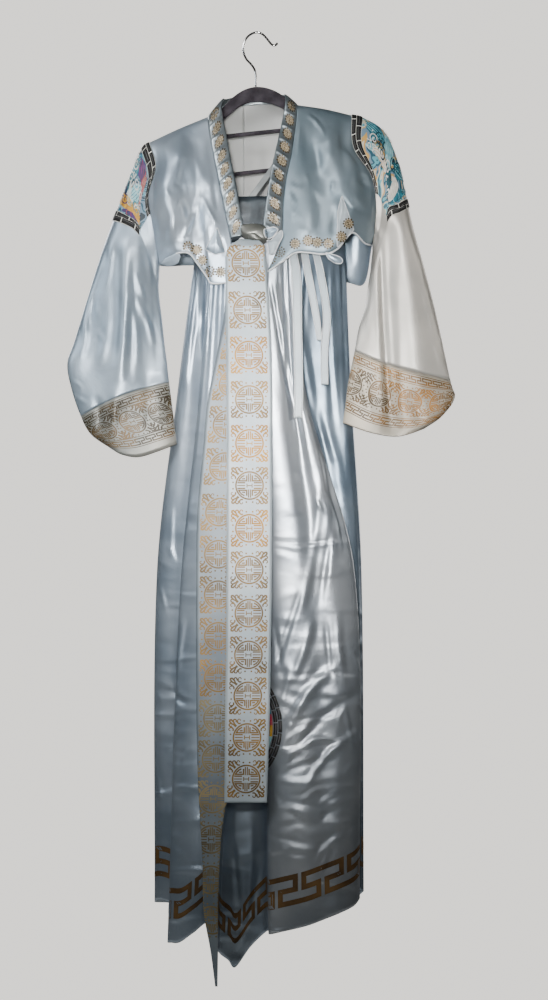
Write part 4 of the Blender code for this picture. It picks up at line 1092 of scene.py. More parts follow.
SKIRT_LOW_CREASES = (
    (108, -786, 74, -1020, 8, 4, 14), (130, -853, 108, -1009, 0, -4, 12), (122, -808, 148, -914, 4, 3.5, 6),
    (99, -814, 119, -847, 0, 3, 5), (96, -1026, 53, -1143, 6, 5, 14), (77, -975, 32, -1115, 0, -4, 10),
    (142, -1009, 155, -1148, -5, 4, 12), (119, -1026, 130, -1143, 0, -3, 9), (41, -1270, 152, -1098, 22, 6, 16),
    (57, -1288, 180, -1154, 18, -5, 14), (36, -1291, 130, -1232, 14, 5, 9), (35, -1305, 141, -1271, 10, -4, 8),
    (44, -1200, 64, -1228, 6, 3.4, 5), (38, -1176, 74, -1200, 4, -3, 5), (41, -1249, 96, -1217, 8, 4, 5),
    (38, -1267, 85, -1253, 4, 3, 4), (85, -1321, 180, -1221, 12, 4.5, 10), (74, -1344, 130, -1321, 6, 3.5, 6),
    (108, -1350, 144, -1326, 3, 3, 5), (152, -1295, 181, -1277, 4, 3, 5), (41, -1427, 91, -1445, -6, 2.5, 10),
    (102, -1450, 155, -1402, 8, 3.6, 8), (158, -1406, 182, -1388, 3, 2.5, 5), (35, -1355, 85, -1388, 8, -3, 12),
    (108, -1377, 180, -1349, 8, -3, 10), (152, -1176, 169, -1260, 0, 3, 7), (161, -1076, 180, -1132, 4, 2.5, 6),
    (141, -1210, 158, -1176, 3, 2.5, 5), (57, -1098, 41, -1176, 4, 3, 8), (27, -1333, 41, -1349, 0, 2.5, 5),
    (130, -1416, 108, -1472, 0, 2, 8), (30, -1031, 46, -1132, 0, -2, 8), (-138, -1116, -120, -1087, 4, 3, 7),
    (-151, -1211, -109, -1198, 5, 2.8, 6), (-132, -1279, -109, -1250, 4, 2.4, 6),
    (-157, -1345, -114, -1316, 6, 2.2, 8), (-149, -1143, -121, -1176, -5, -3, 8),
    (-127, -1020, -143, -1143, 0, 3, 10), (-153, -1266, -127, -1232, 4, -2, 7),
    (-155, -1411, -121, -1444, -5, 2, 9), (-160, -897, -142, -932, 3, 2, 6),
    (-182, -1155, -165, -1172, 2, 2.4, 5), (-171, -970, -158, -1020, 0, 2, 6),
    (-180, -1288, -166, -1349, 0, 2, 7), (-149, -830, -151, -931, 0, 2, 7),
    (-43, -1416, -32, -1539, 0, 3.5, 10), (-10, -1377, -21, -1567, 5, -3, 12),
    (7, -1455, -37, -1612, 6, 2.5, 8),
)

# The back's creases, which the photo doesn't show, are like the front's.
LEFT_BACK_CREASES = (
    (-150, -200, -120, -380, 8, 4, 14), (-120, -190, -70, -300, -6, -3, 12), (-95, -250, -110, -395, 4, 3, 9),
    (-60, -180, -66, -380, -5, 3.5, 14), (-160, -260, -150, -390, 3, -3, 9), (-80, -330, -30, -390, 6, 2.5, 7),
    (-40, -160, -48, -360, 3, -2.5, 12),
)
RIGHT_BACK_CREASES = (
    (150, -190, 110, -380, -8, 4, 14), (110, -160, 70, -300, 6, -3, 12), (90, -240, 130, -420, 5, 3.5, 9),
    (40, -160, 52, -380, 5, 3.5, 14), (178, -260, 170, -410, -3, -3, 9), (60, -330, 10, -395, -6, 2.5, 7),
    (5, -170, 10, -360, -3, -2.5, 12),
)
LEFT_SLEEVE_BACK = (
    (-205, -370, -235, -680, 5, 4.5, 12), (-185, -400, -190, -640, 0, -3, 12),
    (-262, -420, -290, -640, -4, 3, 12), (-215, -460, -175, -560, 6, 2.5, 7), (-300, -560, -270, -640, 4, 2, 7),
)
RIGHT_SLEEVE_BACK = (
    (226, -360, 232, -680, 4, -4, 9), (255, -360, 285, -640, -5, 3.5, 13), (205, -430, 190, -620, 3, 3, 10),
    (300, -480, 318, -620, 3, 2, 8), (240, -540, 290, -640, 6, 2, 7),
)
SKIRT_BACK_CREASES = (
    (-120, -900, -20, -1200, 20, 5.0, 24), (20, -980, 140, -1240, -18, 5.0, 24),
    (-90, -1180, 60, -1280, 12, 4.0, 18), (60, -1120, 150, -1080, 6, 3.4, 14),
    (-150, -1300, -60, -1260, -6, 3.4, 14), (-30, -700, -60, -1000, 8, -4.4, 20),
    (80, -640, 60, -980, -6, 4.4, 20), (10, -1300, 110, -1380, 8, 3.4, 16),
    (-110, -1400, -40, -1360, 5, 3.0, 14), (120, -1340, 160, -1300, 4, 3.0, 12),
    (-70, -560, -100, -820, 6, 3.8, 16), (110, -520, 130, -860, -5, 3.8, 16),
)


def puckered(sheet):
    """A collar band, cushioned across and puckered between its round marks."""
    down = lengths(sheet.points.transpose(1, 0, 2))[:, COLLAR_STEPS // 2]
    across = np.linspace(0, 1, sheet.points.shape[0])[:, None]
    between = (1 + np.cos(2 * np.pi * (down - COLLAR_FIRST) / COLLAR_PITCH + np.pi + 1.2 * (across - 0.5))) / 2
    arch = 4 * across * (1 - across)
    height = COLLAR_CUSHION * arch**0.5 + COLLAR_PUCKER * between**2 * arch
    height = height - COLLAR_RIPPLE * np.sin(2 * np.pi * down / COLLAR_RIPPLE_LENGTH + 3 * across) * arch * between
    return Sheet(sheet.points + sheet.normals * height[..., None], sheet.outward)


class Side:
    """The cloth of one side of the jacket."""

    def __init__(self, name, rings, sleeve_folds, shoulder, hem, seam, free, front_folds, neck_line,
                 neckline, neck_top, back_hem, mid_hem, turn, creases):
        self.name = name
        self.turn = turn
        self.sleeve = sleeve_cloth(rings, sleeve_folds, turn, creases["sleeve"])
        first = self.sleeve.points[0]
        armhole_front = first[:RING_HALF + 1]
        armhole_back = np.vstack([first[:1], first[:RING_HALF - 1:-1]])
        across = np.linspace(0, 1, PANEL_STEPS + 1)
        neck = np.linspace(0, 1, NECK_STEPS + 1)
        down = CLOTH_SHARES
        top = hermite(shoulder, across)
        u = across[:, None]
        inside = faded(u, 10) * faded(down, 12)[None]
        front = patch(top, hermite(hem, across), armhole_front, hermite(seam, down), across, down)
        front = folded(front, -inside, front_folds)
        self.front = Sheet(front, -turn).crease(creases["front"], np.minimum(inside * 1.5, 1))
        below = hermite(neck_line, down)
        back = patch(top, hermite(back_hem, across), armhole_back, below, across, down)
        middle = patch(hermite(neckline, neck), hermite(mid_hem, neck), below, hermite(CENTRE_BACK, down),
                       neck, down)
        self.back = Sheet(np.concatenate([back, middle[1:]]), turn)
        rows = np.linspace(0, 1, len(self.back.points))[:, None]
        fade = np.minimum(rows * 8, 1) * faded(down, 12)[None]
        self.back.crease(creases["back"], fade)
        stops = np.linspace(0, COLLAR_END, 150)
        inner = hermite(free, stops)
        outer = hermite(seam, stops)
        share = np.linspace(0, 1, COLLAR_STEPS + 1)[:, None, None]
        self.collar = puckered(Sheet(outer[None] * (1 - share) + inner[None] * share, -turn))
        edge = hermite(neck_top, neck)
        foot = middle[:, 0]
        rise = np.linspace(0, 1, COLLAR_STEPS + 1)[None, :, None]
        self.collar_back = Sheet(foot[:, None] * (1 - rise) + edge[:, None] * rise, -turn)


CREASES = {
    "left": {"sleeve": {"front": LEFT_SLEEVE_CREASES, "back": LEFT_SLEEVE_BACK},
             "front": LEFT_FRONT_CREASES, "back": LEFT_BACK_CREASES},
    "right": {"sleeve": {"front": RIGHT_SLEEVE_CREASES, "back": RIGHT_SLEEVE_BACK},
              "front": RIGHT_FRONT_CREASES, "back": RIGHT_BACK_CREASES},
}
left = Side("left", LEFT_SLEEVE, LEFT_SLEEVE_FOLDS, LEFT_SHOULDER, LEFT_HEM, LEFT_COLLAR_SEAM,
            LEFT_COLLAR_EDGE, LEFT_FRONT_FOLDS, LEFT_NECK_LINE, LEFT_NECK, LEFT_NECK_TOP,
            LEFT_BACK_HEM, LEFT_BACK_MID_HEM, 1, CREASES["left"])
right = Side("right", RIGHT_SLEEVE, RIGHT_SLEEVE_FOLDS, RIGHT_SHOULDER, RIGHT_HEM, RIGHT_COLLAR_SEAM,
             RIGHT_COLLAR_EDGE, RIGHT_FRONT_FOLDS, RIGHT_NECK_LINE, RIGHT_NECK, RIGHT_NECK_TOP,
             RIGHT_BACK_HEM, RIGHT_BACK_MID_HEM, -1, CREASES["right"])


def shapes_on(name, ruler, shapes, lift, material):
    """A thin print of shapes given as (a, b) on a ruled sheet."""
    corners = np.concatenate(shapes)
    i, j = ruler.find(corners[:, 0], corners[:, 1])
    place = ruler.sheet.place
    printed(name, place(i, j, lift), place(i, j, lift + 1), shapes, material)


def along_down(shapes, a, b, turn=1):
    """Turn upright shapes (right, up) into (a, b) places, with a running down."""
    return [pairs(a - shape[:, 1], b + turn * shape[:, 0]) for shape in shapes]


def along_round(shapes, a, b, turn=1):
    """Turn upright shapes into places with a running round and b running down."""
    return [pairs(a + turn * shape[:, 0], b - shape[:, 1]) for shape in shapes]


def cuff_prints(side, sheet):
    """Key frets along both edges of a cuff, with longevity marks and clouds between."""
    ruler = Ruler(sheet, "start", reference=0.25)
    depth = ruler.along[-1]
    total = float(ruler.total[len(ruler.total) // 2, 0])
    lines, marks = [], []
    count = round(total / CUFF_FRET_PERIOD)
    period = total / count
    running = fret(period, CUFF_FRET_HEIGHT, CUFF_STROKE, count)
    for middle in (CUFF_TOP + CUFF_FRET_HEIGHT, depth - CUFF_EDGE - CUFF_FRET_HEIGHT):
        lines += [pairs(middle - face[:, 1], face[:, 0]) for face in running]
        for way in (-1, 1):
            at = middle + way * CUFF_LINE_AT * CUFF_FRET_HEIGHT
            lines += [pairs(at - face[:, 1], face[:, 0]) for face in stroke([(0, 0), (total, 0)], CUFF_LINE, step=5)]
    centre = (CUFF_TOP + depth - CUFF_EDGE) / 2
    number = round(total / CUFF_MARK_PITCH)
    pitch = total / number
    for index in range(number):
        marks += along_down(turned(square_motif(), scale=CUFF_MARK_SCALE), centre, (index + 0.5) * pitch)
        for up in CUFF_DOTS:
            marks += along_down(dot(0, 0, 1.5), centre + up, (index + 1.0) * pitch - 1.6)
    marks = [pairs(shape[:, 0], np.mod(shape[:, 1], total)) for shape in marks
             if shape[:, 1].min() > 0 and shape[:, 1].max() < total]
    thread = {"left": "cuff_thread", "right": "warm_cuff_thread"}[side]
    shapes_on("cuff_fret_" + side, ruler, lines, CUFF_LIFT, thread)
    shapes_on("cuff_marks_" + side, ruler, marks, CUFF_LIFT, thread)


def cloud_scroll():
    """An S of two cloud curls, 36 mm high."""
    half = arc(0, 9, 8.0, -80, 150, 2.4, 14) + arc(-2.4, 8.6, 3.6, 150, 420, 2.0, 12)
    half += stroke([(1.4, 1.2), (9.5, -2.0)], 1.8)
    half += dot(9.5, 19, 1.6) + dot(-10, 2, 1.5)
    return half + turned(half, 180)


def build_side(part):
    """The pieces of one side of the jacket."""
    name = part.name
    # Apart from the left sleeve's, these finishes are copies of the satin with painted light and shade: the left front
    # lighter, the right front darker, the right sleeve warmer and lighter.
    cuff, sleeve_look, front_look = {
        "left": (LEFT_CUFF_RING, "sleeve_satin", "left_front_satin"),
        "right": (RIGHT_CUFF_RING, "warm_satin", "right_front_satin"),
    }[name]
    upper = Sheet(part.sleeve.points[:cuff * RING_STEPS + 1], part.turn, closed=True)
    lower = Sheet(part.sleeve.points[cuff * RING_STEPS:], part.turn, closed=True)
    cloth_piece("sleeve_%s_cloth" % name, upper, sleeve_look, ["sleeve_" + name])
    cloth_piece("cuff_%s_cloth" % name, lower, "cuff_satin_" + name, ["cuff_" + name])
    cuff_prints(name, lower)
    cloth_piece("front_%s_cloth" % name, part.front, front_look, ["jacket_front_" + name])
    cloth_piece("back_%s_cloth" % name, part.back, "satin", ["jacket_back_" + name],
                inner="lining", plain_below=LINING_FOOT)
    for label, sheet in (("collar_", part.collar), ("collar_back_", part.collar_back)):
        cloth_piece(label + name + "_cloth", sheet, "collar_satin", [label + name],
                    COLLAR_THICKNESS)
    hem = part.front.points[4:, -1] - np.array([0, 0, HEM_EDGE_DROP])
    tube("hem_edge_" + name, hem, HEM_EDGE_RADIUS, "piping", ["hem_piping_" + name])
    ruler = Ruler(part.collar, "start", reference=0.5)
    middle = float(np.mean(lengths(part.collar.points)[-1])) / 2
    for label, mark, lift, thread in (("marks", small_medallion(), MARK_LIFT, "olive_thread"),
                                      ("grounds", medallion_ground(), GROUND_LIFT, "blush_thread")):
        shapes = [pairs(middle + part.turn * shape[:, 0], COLLAR_FIRST + step * COLLAR_PITCH - shape[:, 1])
                  for step in range(COLLAR_MARKS) for shape in mark]
        shapes_on("collar_%s_%s" % (label, name), ruler, shapes, lift, thread)
    badges(part)


BRICK_LENGTH = 29.0
BRICK_GAP = 1.6
SLIT_HALF = 0.014      # half width of the grey line along a brick, as a share of the band
SLIT_INSET = 3
BRICK_ROWS = ((0.03, 0.475), (0.525, 0.97))     # share of the band's width


def brick_band(name, band):
    """Two rows of black bricks, each with a grey line along it, down the second index of a
    white band."""
    rows, columns = band.points.shape[:2]
    along = lengths(band.points[rows // 2][:, None])[:, 0]
    count = max(1, round(along[-1] / BRICK_LENGTH))
    pitch = along[-1] / count
    shapes = []
    for row, (low, high) in enumerate(BRICK_ROWS):
        for k in range(count + row):
            start = max((k - 0.5 * row) * pitch + BRICK_GAP / 2, 0.4)
            stop = min((k + 1 - 0.5 * row) * pitch - BRICK_GAP / 2, along[-1] - 0.4)
            shapes.append((low, high, start, stop))

    def put(shape, lift):
        return band.place(shape[:, 0] * (rows - 1), np.interp(shape[:, 1], along, np.arange(columns)), lift)

    bars(name + "_bricks", put, shapes, 0.1, 0.9, 0.03, "black_thread")
    slits = [((low + high) / 2 - SLIT_HALF, (low + high) / 2 + SLIT_HALF, start + SLIT_INSET, stop - SLIT_INSET)
             for low, high, start, stop in shapes if stop - start > 10]
    bars(name + "_slits", put, slits, 0.8, 1.05, 0.005, "grey_thread")


def bars(name, put, boxes, low, high, bevel, material):
    """Raised bars of thread that follow the cloth: boxes of (first, last) across and along."""
    points, faces = [], []
    for x0, x1, y0, y1 in boxes:
        count = max(3, math.ceil((y1 - y0) / 2.5) + 1)
        rows = np.concatenate([[y0], np.linspace(y0 + 0.6, y1 - 0.6, count), [y1]])
        base = len(points)
        for index, y in enumerate(rows):
            top = low if index in (0, len(rows) - 1) else high
            for x, lift in ((x0, low), (x0 + bevel, top), ((x0 + x1) / 2, top), (x1 - bevel, top), (x1, low)):
                points.append(put(np.array([(x, y)]), lift)[0])
        for index in range(len(rows) - 1):
            for k in range(4):
                start = base + index * 5 + k
                faces.append((start, start + 1, start + 6, start + 5))
    settled(mesh_object(name, points, faces, [material]))


def feather(a, b, length, width, angle, count=20):
    """A leaf shape with a wavy edge and the thread lines along it, turned by an angle."""
    turns = np.arange(count) * 2 * np.pi / count
    reach = 1 + 0.1 * np.cos(4 * turns)
    leaf = pairs(length / 2 * np.cos(turns) * reach, width / 2 * np.sin(turns) * reach)
    after = np.roll(leaf, -1, axis=0)
    cells = []
    for inner, outer in ((0.0, 0.35), (0.35, 0.7), (0.7, 1.0)):
        for k in range(count):
            corners = [leaf[k] * outer, after[k] * outer, after[k] * inner]
            cells.append(np.array(corners + ([leaf[k] * inner] if inner else [])))
    lines = []
    for share in (-0.62, -0.2, 0.2, 0.62):
        half = length / 2 * math.sqrt(1 - share**2) * 0.86
        y = share * width / 2
        lines += stroke([(-half, y * 0.7), (-half / 2, y), (half / 2, y), (half, y * 0.7)], 0.9, step=4)
    place = np.array([a, b])
    return [shape + place for shape in turned(cells, angle)], [shape + place for shape in turned(lines, angle)]


def scale_rows(a0, a1, b0, b1, radius):
    """Outlines of overlapping scales over a box of (a, b)."""
    shapes = []
    for row in range(int((a1 - a0) / radius) + 1):
        for step in range(int((b1 - b0) / (2 * radius)) + 1):
            a = a0 + row * radius
            b = b0 + (2 * step + row % 2) * radius
            for share in (1.0, 0.6):
                angles = np.radians(np.linspace(0, 180, 9))
                line = pairs(a - radius * share * np.sin(angles), b + radius * share * np.cos(angles))
                shapes += stroke(line, 1.0, step=99)
    return shapes


BADGE_LIFT = 1.0       # of the field off the sleeve
BORDER_LIFT = 1.2
BADGE_THICKNESS = 0.8
BADGE_COLUMNS = 120
WAVE_RADIUS = 6.0
WAVE_LIFT = 0.5        # of the wave scales off the field
LEAF_LIFTS = (0.8, 0.12)       # of the first leaf, and more for each of the next three
LINE_LIFT = 1.3
CURL_LIFT = 1.7
# Leaves of the badges: share of the way down, mm round from the outer fold, length, width,
# angle, colour of its thread, and of the thread of its lines.
BADGE_LEAVES = {
    "left": ((0.12, 36, 44, 34, 60, "purple", "pink"), (0.3, 60, 68, 26, 12, "pink", "blush"),
             (0.14, 74, 34, 18, 20, "dark_teal", "teal"), (0.79, 24, 24, 66, 0, "mustard", "warm"),
             (0.3, 14, 62, 24, -12, "teal", "aqua"), (0.5, 40, 50, 24, -24, "aqua", "teal"),
             (0.56, 8, 40, 18, 20, "dark_teal", "teal"), (0.8, 62, 36, 36, 8, "mustard", "warm"),
             (0.66, 58, 46, 20, -40, "white", "mustard"), (0.66, 26, 44, 20, 30, "white", "aqua"),
             (0.92, 46, 20, 46, 10, "purple", "pink"), (0.92, 80, 20, 34, -6, "teal", "aqua"),
             (0.2, -30, 50, 28, 20, "teal", "aqua"), (0.45, -46, 52, 26, -30, "white", "teal"),
             (0.7, -24, 50, 26, 24, "aqua", "teal"), (0.86, -50, 22, 56, 0, "mustard", "warm")),
    "right": ((0.16, 22, 56, 22, 14, "teal", "aqua"), (0.3, 56, 60, 26, -8, "white", "mustard"),
              (0.16, 66, 40, 20, 30, "aqua", "teal"), (0.42, 26, 50, 28, 34, "aqua", "teal"),
              (0.62, 52, 64, 24, 6, "dark_teal", "teal"), (0.5, 84, 50, 22, -14, "teal", "aqua"),
              (0.7, 14, 46, 24, -30, "teal", "aqua"), (0.8, 40, 40, 28, 20, "white", "blush"),
              (0.92, 34, 18, 64, 0, "teal", "aqua"), (0.88, 84, 30, 24, 0, "pink", "purple"),
              (0.2, -30, 54, 28, -20, "teal", "aqua"), (0.45, -50, 56, 26, 24, "white", "mustard"),
              (0.72, -26, 54, 28, -24, "aqua", "teal"), (0.9, -46, 20, 60, 0, "teal", "aqua")),
}
BADGE_CURLS = {
    "left": ((0.42, 68, 1.0, 70, "white"), (0.4, 24, 1.1, 100, "white"), (0.6, 56, 1.2, 150, "teal"),
             (0.72, 14, 0.9, 40, "purple"), (0.4, -20, 1.2, 30, "dark_teal"),
             (0.66, -54, 1.1, 120, "white"), (0.16, 6, 1.0, 60, "white")),
    "right": ((0.28, 36, 1.2, 40, "dark_teal"), (0.14, 46, 1.0, 110, "white"),
              (0.5, 56, 1.2, 80, "white"), (0.6, 22, 1.1, 150, "dark_teal"),
              (0.76, 70, 1.1, 60, "white"), (0.3, -12, 1.3, 60, "white"), (0.62, -52, 1.2, 130, "teal")),
}
BADGE_SCALES = {"left": ((0.55, 0.78, 4, 84, "mustard"), (0.3, 0.5, -70, -10, "teal")),
                "right": ((0.22, 0.5, 30, 72, "mustard"), (0.66, 0.86, -70, 10, "teal"))}


def badge_field(part, field):
    """Leaves, wave scales and cloud curls over a badge."""
    name = part.name
    ruler = Ruler(field, "middle", reference=0.5)
    length = float(ruler.along[-1])
    reach = float(ruler.total.min()) / 2 - 2
    groups = {}

    def add(shapes, level, colour):
        kept = [shape for shape in shapes
                if shape[:, 0].min() > 1 and shape[:, 0].max() < length - 1 and np.abs(shape[:, 1]).max() < reach]
        if kept:
            groups.setdefault((level, colour + "_thread"), []).extend(kept)

    for a0, a1, b0, b1, colour in BADGE_SCALES[name]:
        add(scale_rows(a0 * length, a1 * length, b0, b1, WAVE_RADIUS), WAVE_LIFT, colour)
    for index, (share, b, long, wide, angle, first, second) in enumerate(BADGE_LEAVES[name]):
        leaf, lines = feather(share * length, b, long, wide, angle)
        add(leaf, LEAF_LIFTS[0] + LEAF_LIFTS[1] * (index % 4), first)
        add(lines, LINE_LIFT, second)
    for share, b, scale, angle, colour in BADGE_CURLS[name]:
        add([pairs(share * length - face[:, 1], b + face[:, 0])
             for face in turned(cloud_scroll(), angle, scale)], CURL_LIFT, colour)
    for level, colour in sorted(groups):
        label = "badge_%s_%s_%d" % (name, colour, round(level * 100))
        shapes_on(label, ruler, groups[level, colour], level, colour)


def badges(part):
    """The shoulder badge: a band of black bricks above and below an embroidered field."""
    name = part.name
    first, last = {"left": LEFT_BADGE_RINGS, "right": RIGHT_BADGE_RINGS}[name]
    reach = int(round(BADGE_ROW / SLEEVE_ROWS * RING_HALF))
    rows = (-reach, reach)
    field = layer(part.sleeve, ((first + 1) * RING_STEPS, (last - 1) * RING_STEPS), rows, BADGE_LIFT, 40,
                  BADGE_COLUMNS)
    cloth_piece("badge_field_%s_cloth" % name, field, name + "_field", ["badge_field_" + name],
                BADGE_THICKNESS)
    badge_field(part, field)
    for place, ring in (("upper", first), ("lower", last - 1)):
        band = layer(part.sleeve, (ring * RING_STEPS, (ring + 1) * RING_STEPS), rows, BORDER_LIFT, 12,
                     BADGE_COLUMNS)
        label = "badge_border_%s_%s" % (place, name)
        cloth_piece(label + "_cloth", band, "white_thread", [label], BADGE_THICKNESS)
        brick_band(label, band)


build_side(left)
build_side(right)


# Skirt

GATHER_SHARE = 0.6
RISE_POWER = 1.15      # how much closer the rows lie towards the waist
TOP_CREASING = 0.6     # share of the heights of the creases under the band
LOW_CREASING = 0.95    # and of those towards the hem
LOW_CREASE_WIDTH = 0.7
BAND_ROWS = 8
FOLD_STEPS = 10        # columns of cloth between two rows of the fold table
DOWN_STEPS = 240


def back_rows():
    """Rows of the fold table for the back, from the right side to the left."""
    start, end = SKIRT_FRONT[-1], SKIRT_FRONT[0]
    count = 2 * BACK_FOLDS
    rows = []
    for step in range(1, count):
        share = step / count
        arch = math.sqrt(1 - abs(2 * share - 1)**BACK_ROUNDNESS)
        fade = min(BACK_FOLD_FADE * min(share, 1 - share), 1.0)
        wave = BACK_FOLD_DEPTH * fade * (1 if step % 2 else -1)
        row = []
        for level in range(4):
            x = start[2 * level] + (end[2 * level] - start[2 * level]) * share
            side_y = start[2 * level + 1] + (end[2 * level + 1] - start[2 * level + 1]) * share
            depth = BACK_WAIST + (BACK_HEM - BACK_WAIST) * SKIRT_LEVELS[level]
            row += [x, side_y + (depth - side_y) * arch + wave * SKIRT_LEVELS[level]]
        row.append(BACK_HEM_Z + BACK_HEM_WAVE * math.cos(2 * math.pi * share * BACK_HEM_WAVES))
        rows.append(tuple(row))
    return rows


def skirt_cloth():
    """The skirt's cloth, round from the left side and down from the waist."""
    table = list(SKIRT_FRONT) + back_rows()
    count = len(table)
    looped = [(index - 1, *table[(index - 1) % count]) for index in range(count + 3)]
    at = np.arange(count * FOLD_STEPS + 1) / FOLD_STEPS
    columns = hermite(looped, at)
    rise = np.linspace(0, 1, DOWN_STEPS + 1)**RISE_POWER
    points = np.empty((len(at), len(rise), 3))
    for index, values in enumerate(columns):
        levels = [(SKIRT_LEVELS[k], values[2 * k], values[2 * k + 1]) for k in range(4)]
        points[index, :, :2] = hermite(levels, rise)
        points[index, :, 2] = WAIST_Z + (values[8] - WAIST_Z) * rise
    depth = np.where(rise < PLEAT_PEAK, rise / PLEAT_PEAK,
                     np.clip(1 - (rise - PLEAT_PEAK) / (PLEAT_FADE - PLEAT_PEAK), 0, 1)) * PLEAT_DEPTH
    along = np.gradient(points, axis=0)
    along[0] = along[-1] = (points[1] - points[-2]) / 2
    size = np.hypot(along[..., 0], along[..., 1])
    out = np.stack([along[..., 1], -along[..., 0]], axis=2) / np.maximum(size, 1e-6)[..., None]
    room = np.minimum(size * FOLD_STEPS * 2 / COLUMN_STEPS / PLEAT_ROOM, 1)
    uneven = 0.55 + 0.3 * np.sin(at * 2.3) + 0.25 * np.sin(at * 0.9 + 1)
    wave = (np.cos(np.pi * COLUMN_STEPS * at) * uneven)[:, None] * (depth**1.6 / PLEAT_DEPTH**0.6)[None] * room
    points[..., :2] += out * wave[..., None] * GATHER_SHARE
    sheet = Sheet(points, -1)
    front = (np.arange(len(at)) <= (len(SKIRT_FRONT) - 1) * FOLD_STEPS)[:, None]
    flat = np.clip(np.abs(sheet.normals[..., 1]) * 1.6 - 0.3, 0, 1) * np.minimum(rise * 14, 1)
    sheet.crease(SKIRT_TOP_CREASES, np.where(front, TOP_CREASING * flat, 0))
    sharp = [(*row[:5], LOW_CREASING * row[5], LOW_CREASE_WIDTH * row[6]) for row in SKIRT_LOW_CREASES]
    sheet.crease(sharp, np.where(front, flat, 0))
    return sheet.crease(SKIRT_BACK_CREASES, np.where(front, 0, flat))


def joined_widths():
    """The skirt's widths. The inner one on the left is cut in one with the one before it."""
    widths = []
    for node, start, end in SKIRT_WIDTHS:
        if node == "skirt_width_front_inner":
            names, first, _ = widths.pop()
            widths.append((names + [node], first, end))
        else:
            widths.append(([node], start, end))
    return widths


# The front right width takes a paler copy of the skirt satin, painted light, and the right side width a darker one,
# painted shade.
WIDTH_CLOTH = {"skirt_width_front_right": "pale_skirt", "skirt_width_side_right": "shaded_skirt"}
skirt = skirt_cloth()
for names, start, end in joined_widths():
    width = skirt.part(slice(start * FOLD_STEPS, end * FOLD_STEPS + 1))
    cloth_piece(names[0] + "_cloth", width, WIDTH_CLOTH.get(names[0], "skirt_satin"), names)
band_rows = []
for share in np.linspace(0, 1, BAND_ROWS + 1):
    ring = skirt.points[:-1:3, 0].copy()
    ring[:, 2] = WAIST_Z + SEAM_GAP + (BAND_TOP_Z - WAIST_Z) * share
    centre = np.array([*BAND_CENTRE, ring[0, 2]])
    band_rows.append(ring + (centre - ring) * BAND_TAPER * share)
# The chest band's nearly black cloth is painted shadow between the collars.
cloth_piece("chest_band_cloth", Sheet(np.array(band_rows), -1, closed=True), "cotton", ["chest_band"])

HEM_FRET_PERIOD = 84.0
HEM_FRET_HEIGHT = 44.0
HEM_FRET_RISE = 69.0
HEM_FRET_STROKE = 9.2
HEM_FRET_LIFT = 0.35
hem_ruler = Ruler(skirt, "end", reference=0.97)
hem_total = hem_ruler.along[-1]
hem_count = round(hem_total / HEM_FRET_PERIOD)
hem_fret = fret(hem_total / hem_count, HEM_FRET_HEIGHT, HEM_FRET_STROKE, hem_count)
hem_fret = [shape for shape in along_round(hem_fret, 0, -HEM_FRET_RISE) if 0 <= shape[:, 0].min()]
shapes_on("hem_fret", hem_ruler, hem_fret, HEM_FRET_LIFT, "bronze_thread")


# Ribbons, straps and knot

SWAY_LENGTH = 55        # down a tie, for one radian of its sway
TIE_MARK_LIFT = 0.15


def ribbon_cloth(table, rows=200, columns=14, sway=0.0):
    """A tie's cloth from its table, whose edges sway to and fro by a few tenths."""
    table = [(-row[0], row[1], row[2], row[3]) for row in table]
    depth = np.linspace(table[0][0], table[-1][0], rows + 1)
    values = hermite(table, depth)
    share = np.linspace(0, 1, columns + 1)[None, :]
    x = values[:, :1] * (1 - share) + values[:, 1:2] * share
    y = values[:, 2:3] + sway * np.sin(depth / SWAY_LENGTH)[:, None] * (share - 0.5)
    z = np.broadcast_to(-depth[:, None], x.shape)
    return Sheet(np.stack([x, np.broadcast_to(y, x.shape), z], axis=2), 1)


def tie_marks(name, sheet, heights, material):
    """Square motifs down the middle of a tie. Those that would reach past its ends are
    left out."""
    ruler = Ruler(sheet, "middle")
    marks = []
    for height in heights:
        down = np.interp(-height, -sheet.points[:, 0, 2], ruler.along)
        marks += along_down(square_motif(), down, 0.0)
    low, high = ruler.along[0] + 1, ruler.along[-1] - 1
    marks = [shape for shape in marks if shape[:, 0].min() > low and shape[:, 0].max() < high]
    shapes_on(name, ruler, marks, TIE_MARK_LIFT, material)


front_tie = ribbon_cloth(FRONT_TIE, 260, sway=1.2)
cloth_piece("tie_front_cloth", front_tie, "ribbon_satin", ["tie_front"])
FRONT_MARKS = (-411, -492, -570, -647, -723, -796, -870, -942, -1017, -1089, -1160, -1232, -1304)
WARM_MARKS = (2, 4, 6)     # the marks of the front tie whose gold is warmer
tie_marks("tie_front_marks", front_tie, [height for index, height in enumerate(FRONT_MARKS)
                                         if index not in WARM_MARKS], "gold_thread")
tie_marks("tie_front_warm_marks", front_tie, [FRONT_MARKS[index] for index in WARM_MARKS], "warm_thread")
back_tie = ribbon_cloth(BACK_TIE, 300, sway=1.0)
# The back tie's darker ribbon satin is painted shade.
cloth_piece("tie_back_cloth", back_tie, "shaded_ribbon", ["tie_back"])
BACK_MARKS = (-546, -617, -690, -763, -842, -915, -985, -1057, -1129, -1199, -1269, -1339, -1409, -1479, -1549)
tie_marks("tie_back_marks", back_tie, BACK_MARKS[:9], "gold_thread")
tie_marks("tie_back_low_marks", back_tie, BACK_MARKS[9:], "pale_olive_thread")
for node, rows in INNER_TIES:
    inner_tie = ribbon_cloth(rows, 80, 6)
    cloth_piece(node + "_cloth", inner_tie, "ribbon_satin", [node], 0.9)
    for label, column in (("a", 0), ("b", -1)):
        tube("%s_edge_%s" % (node, label), inner_tie.points[:, column], 0.8, "piping", sides=6)


def arm_top(x):
    """Height of the arm's upper edge."""
    return hermite([(row[0], row[1]) for row in ARM], np.atleast_1d(x))[:, 0]


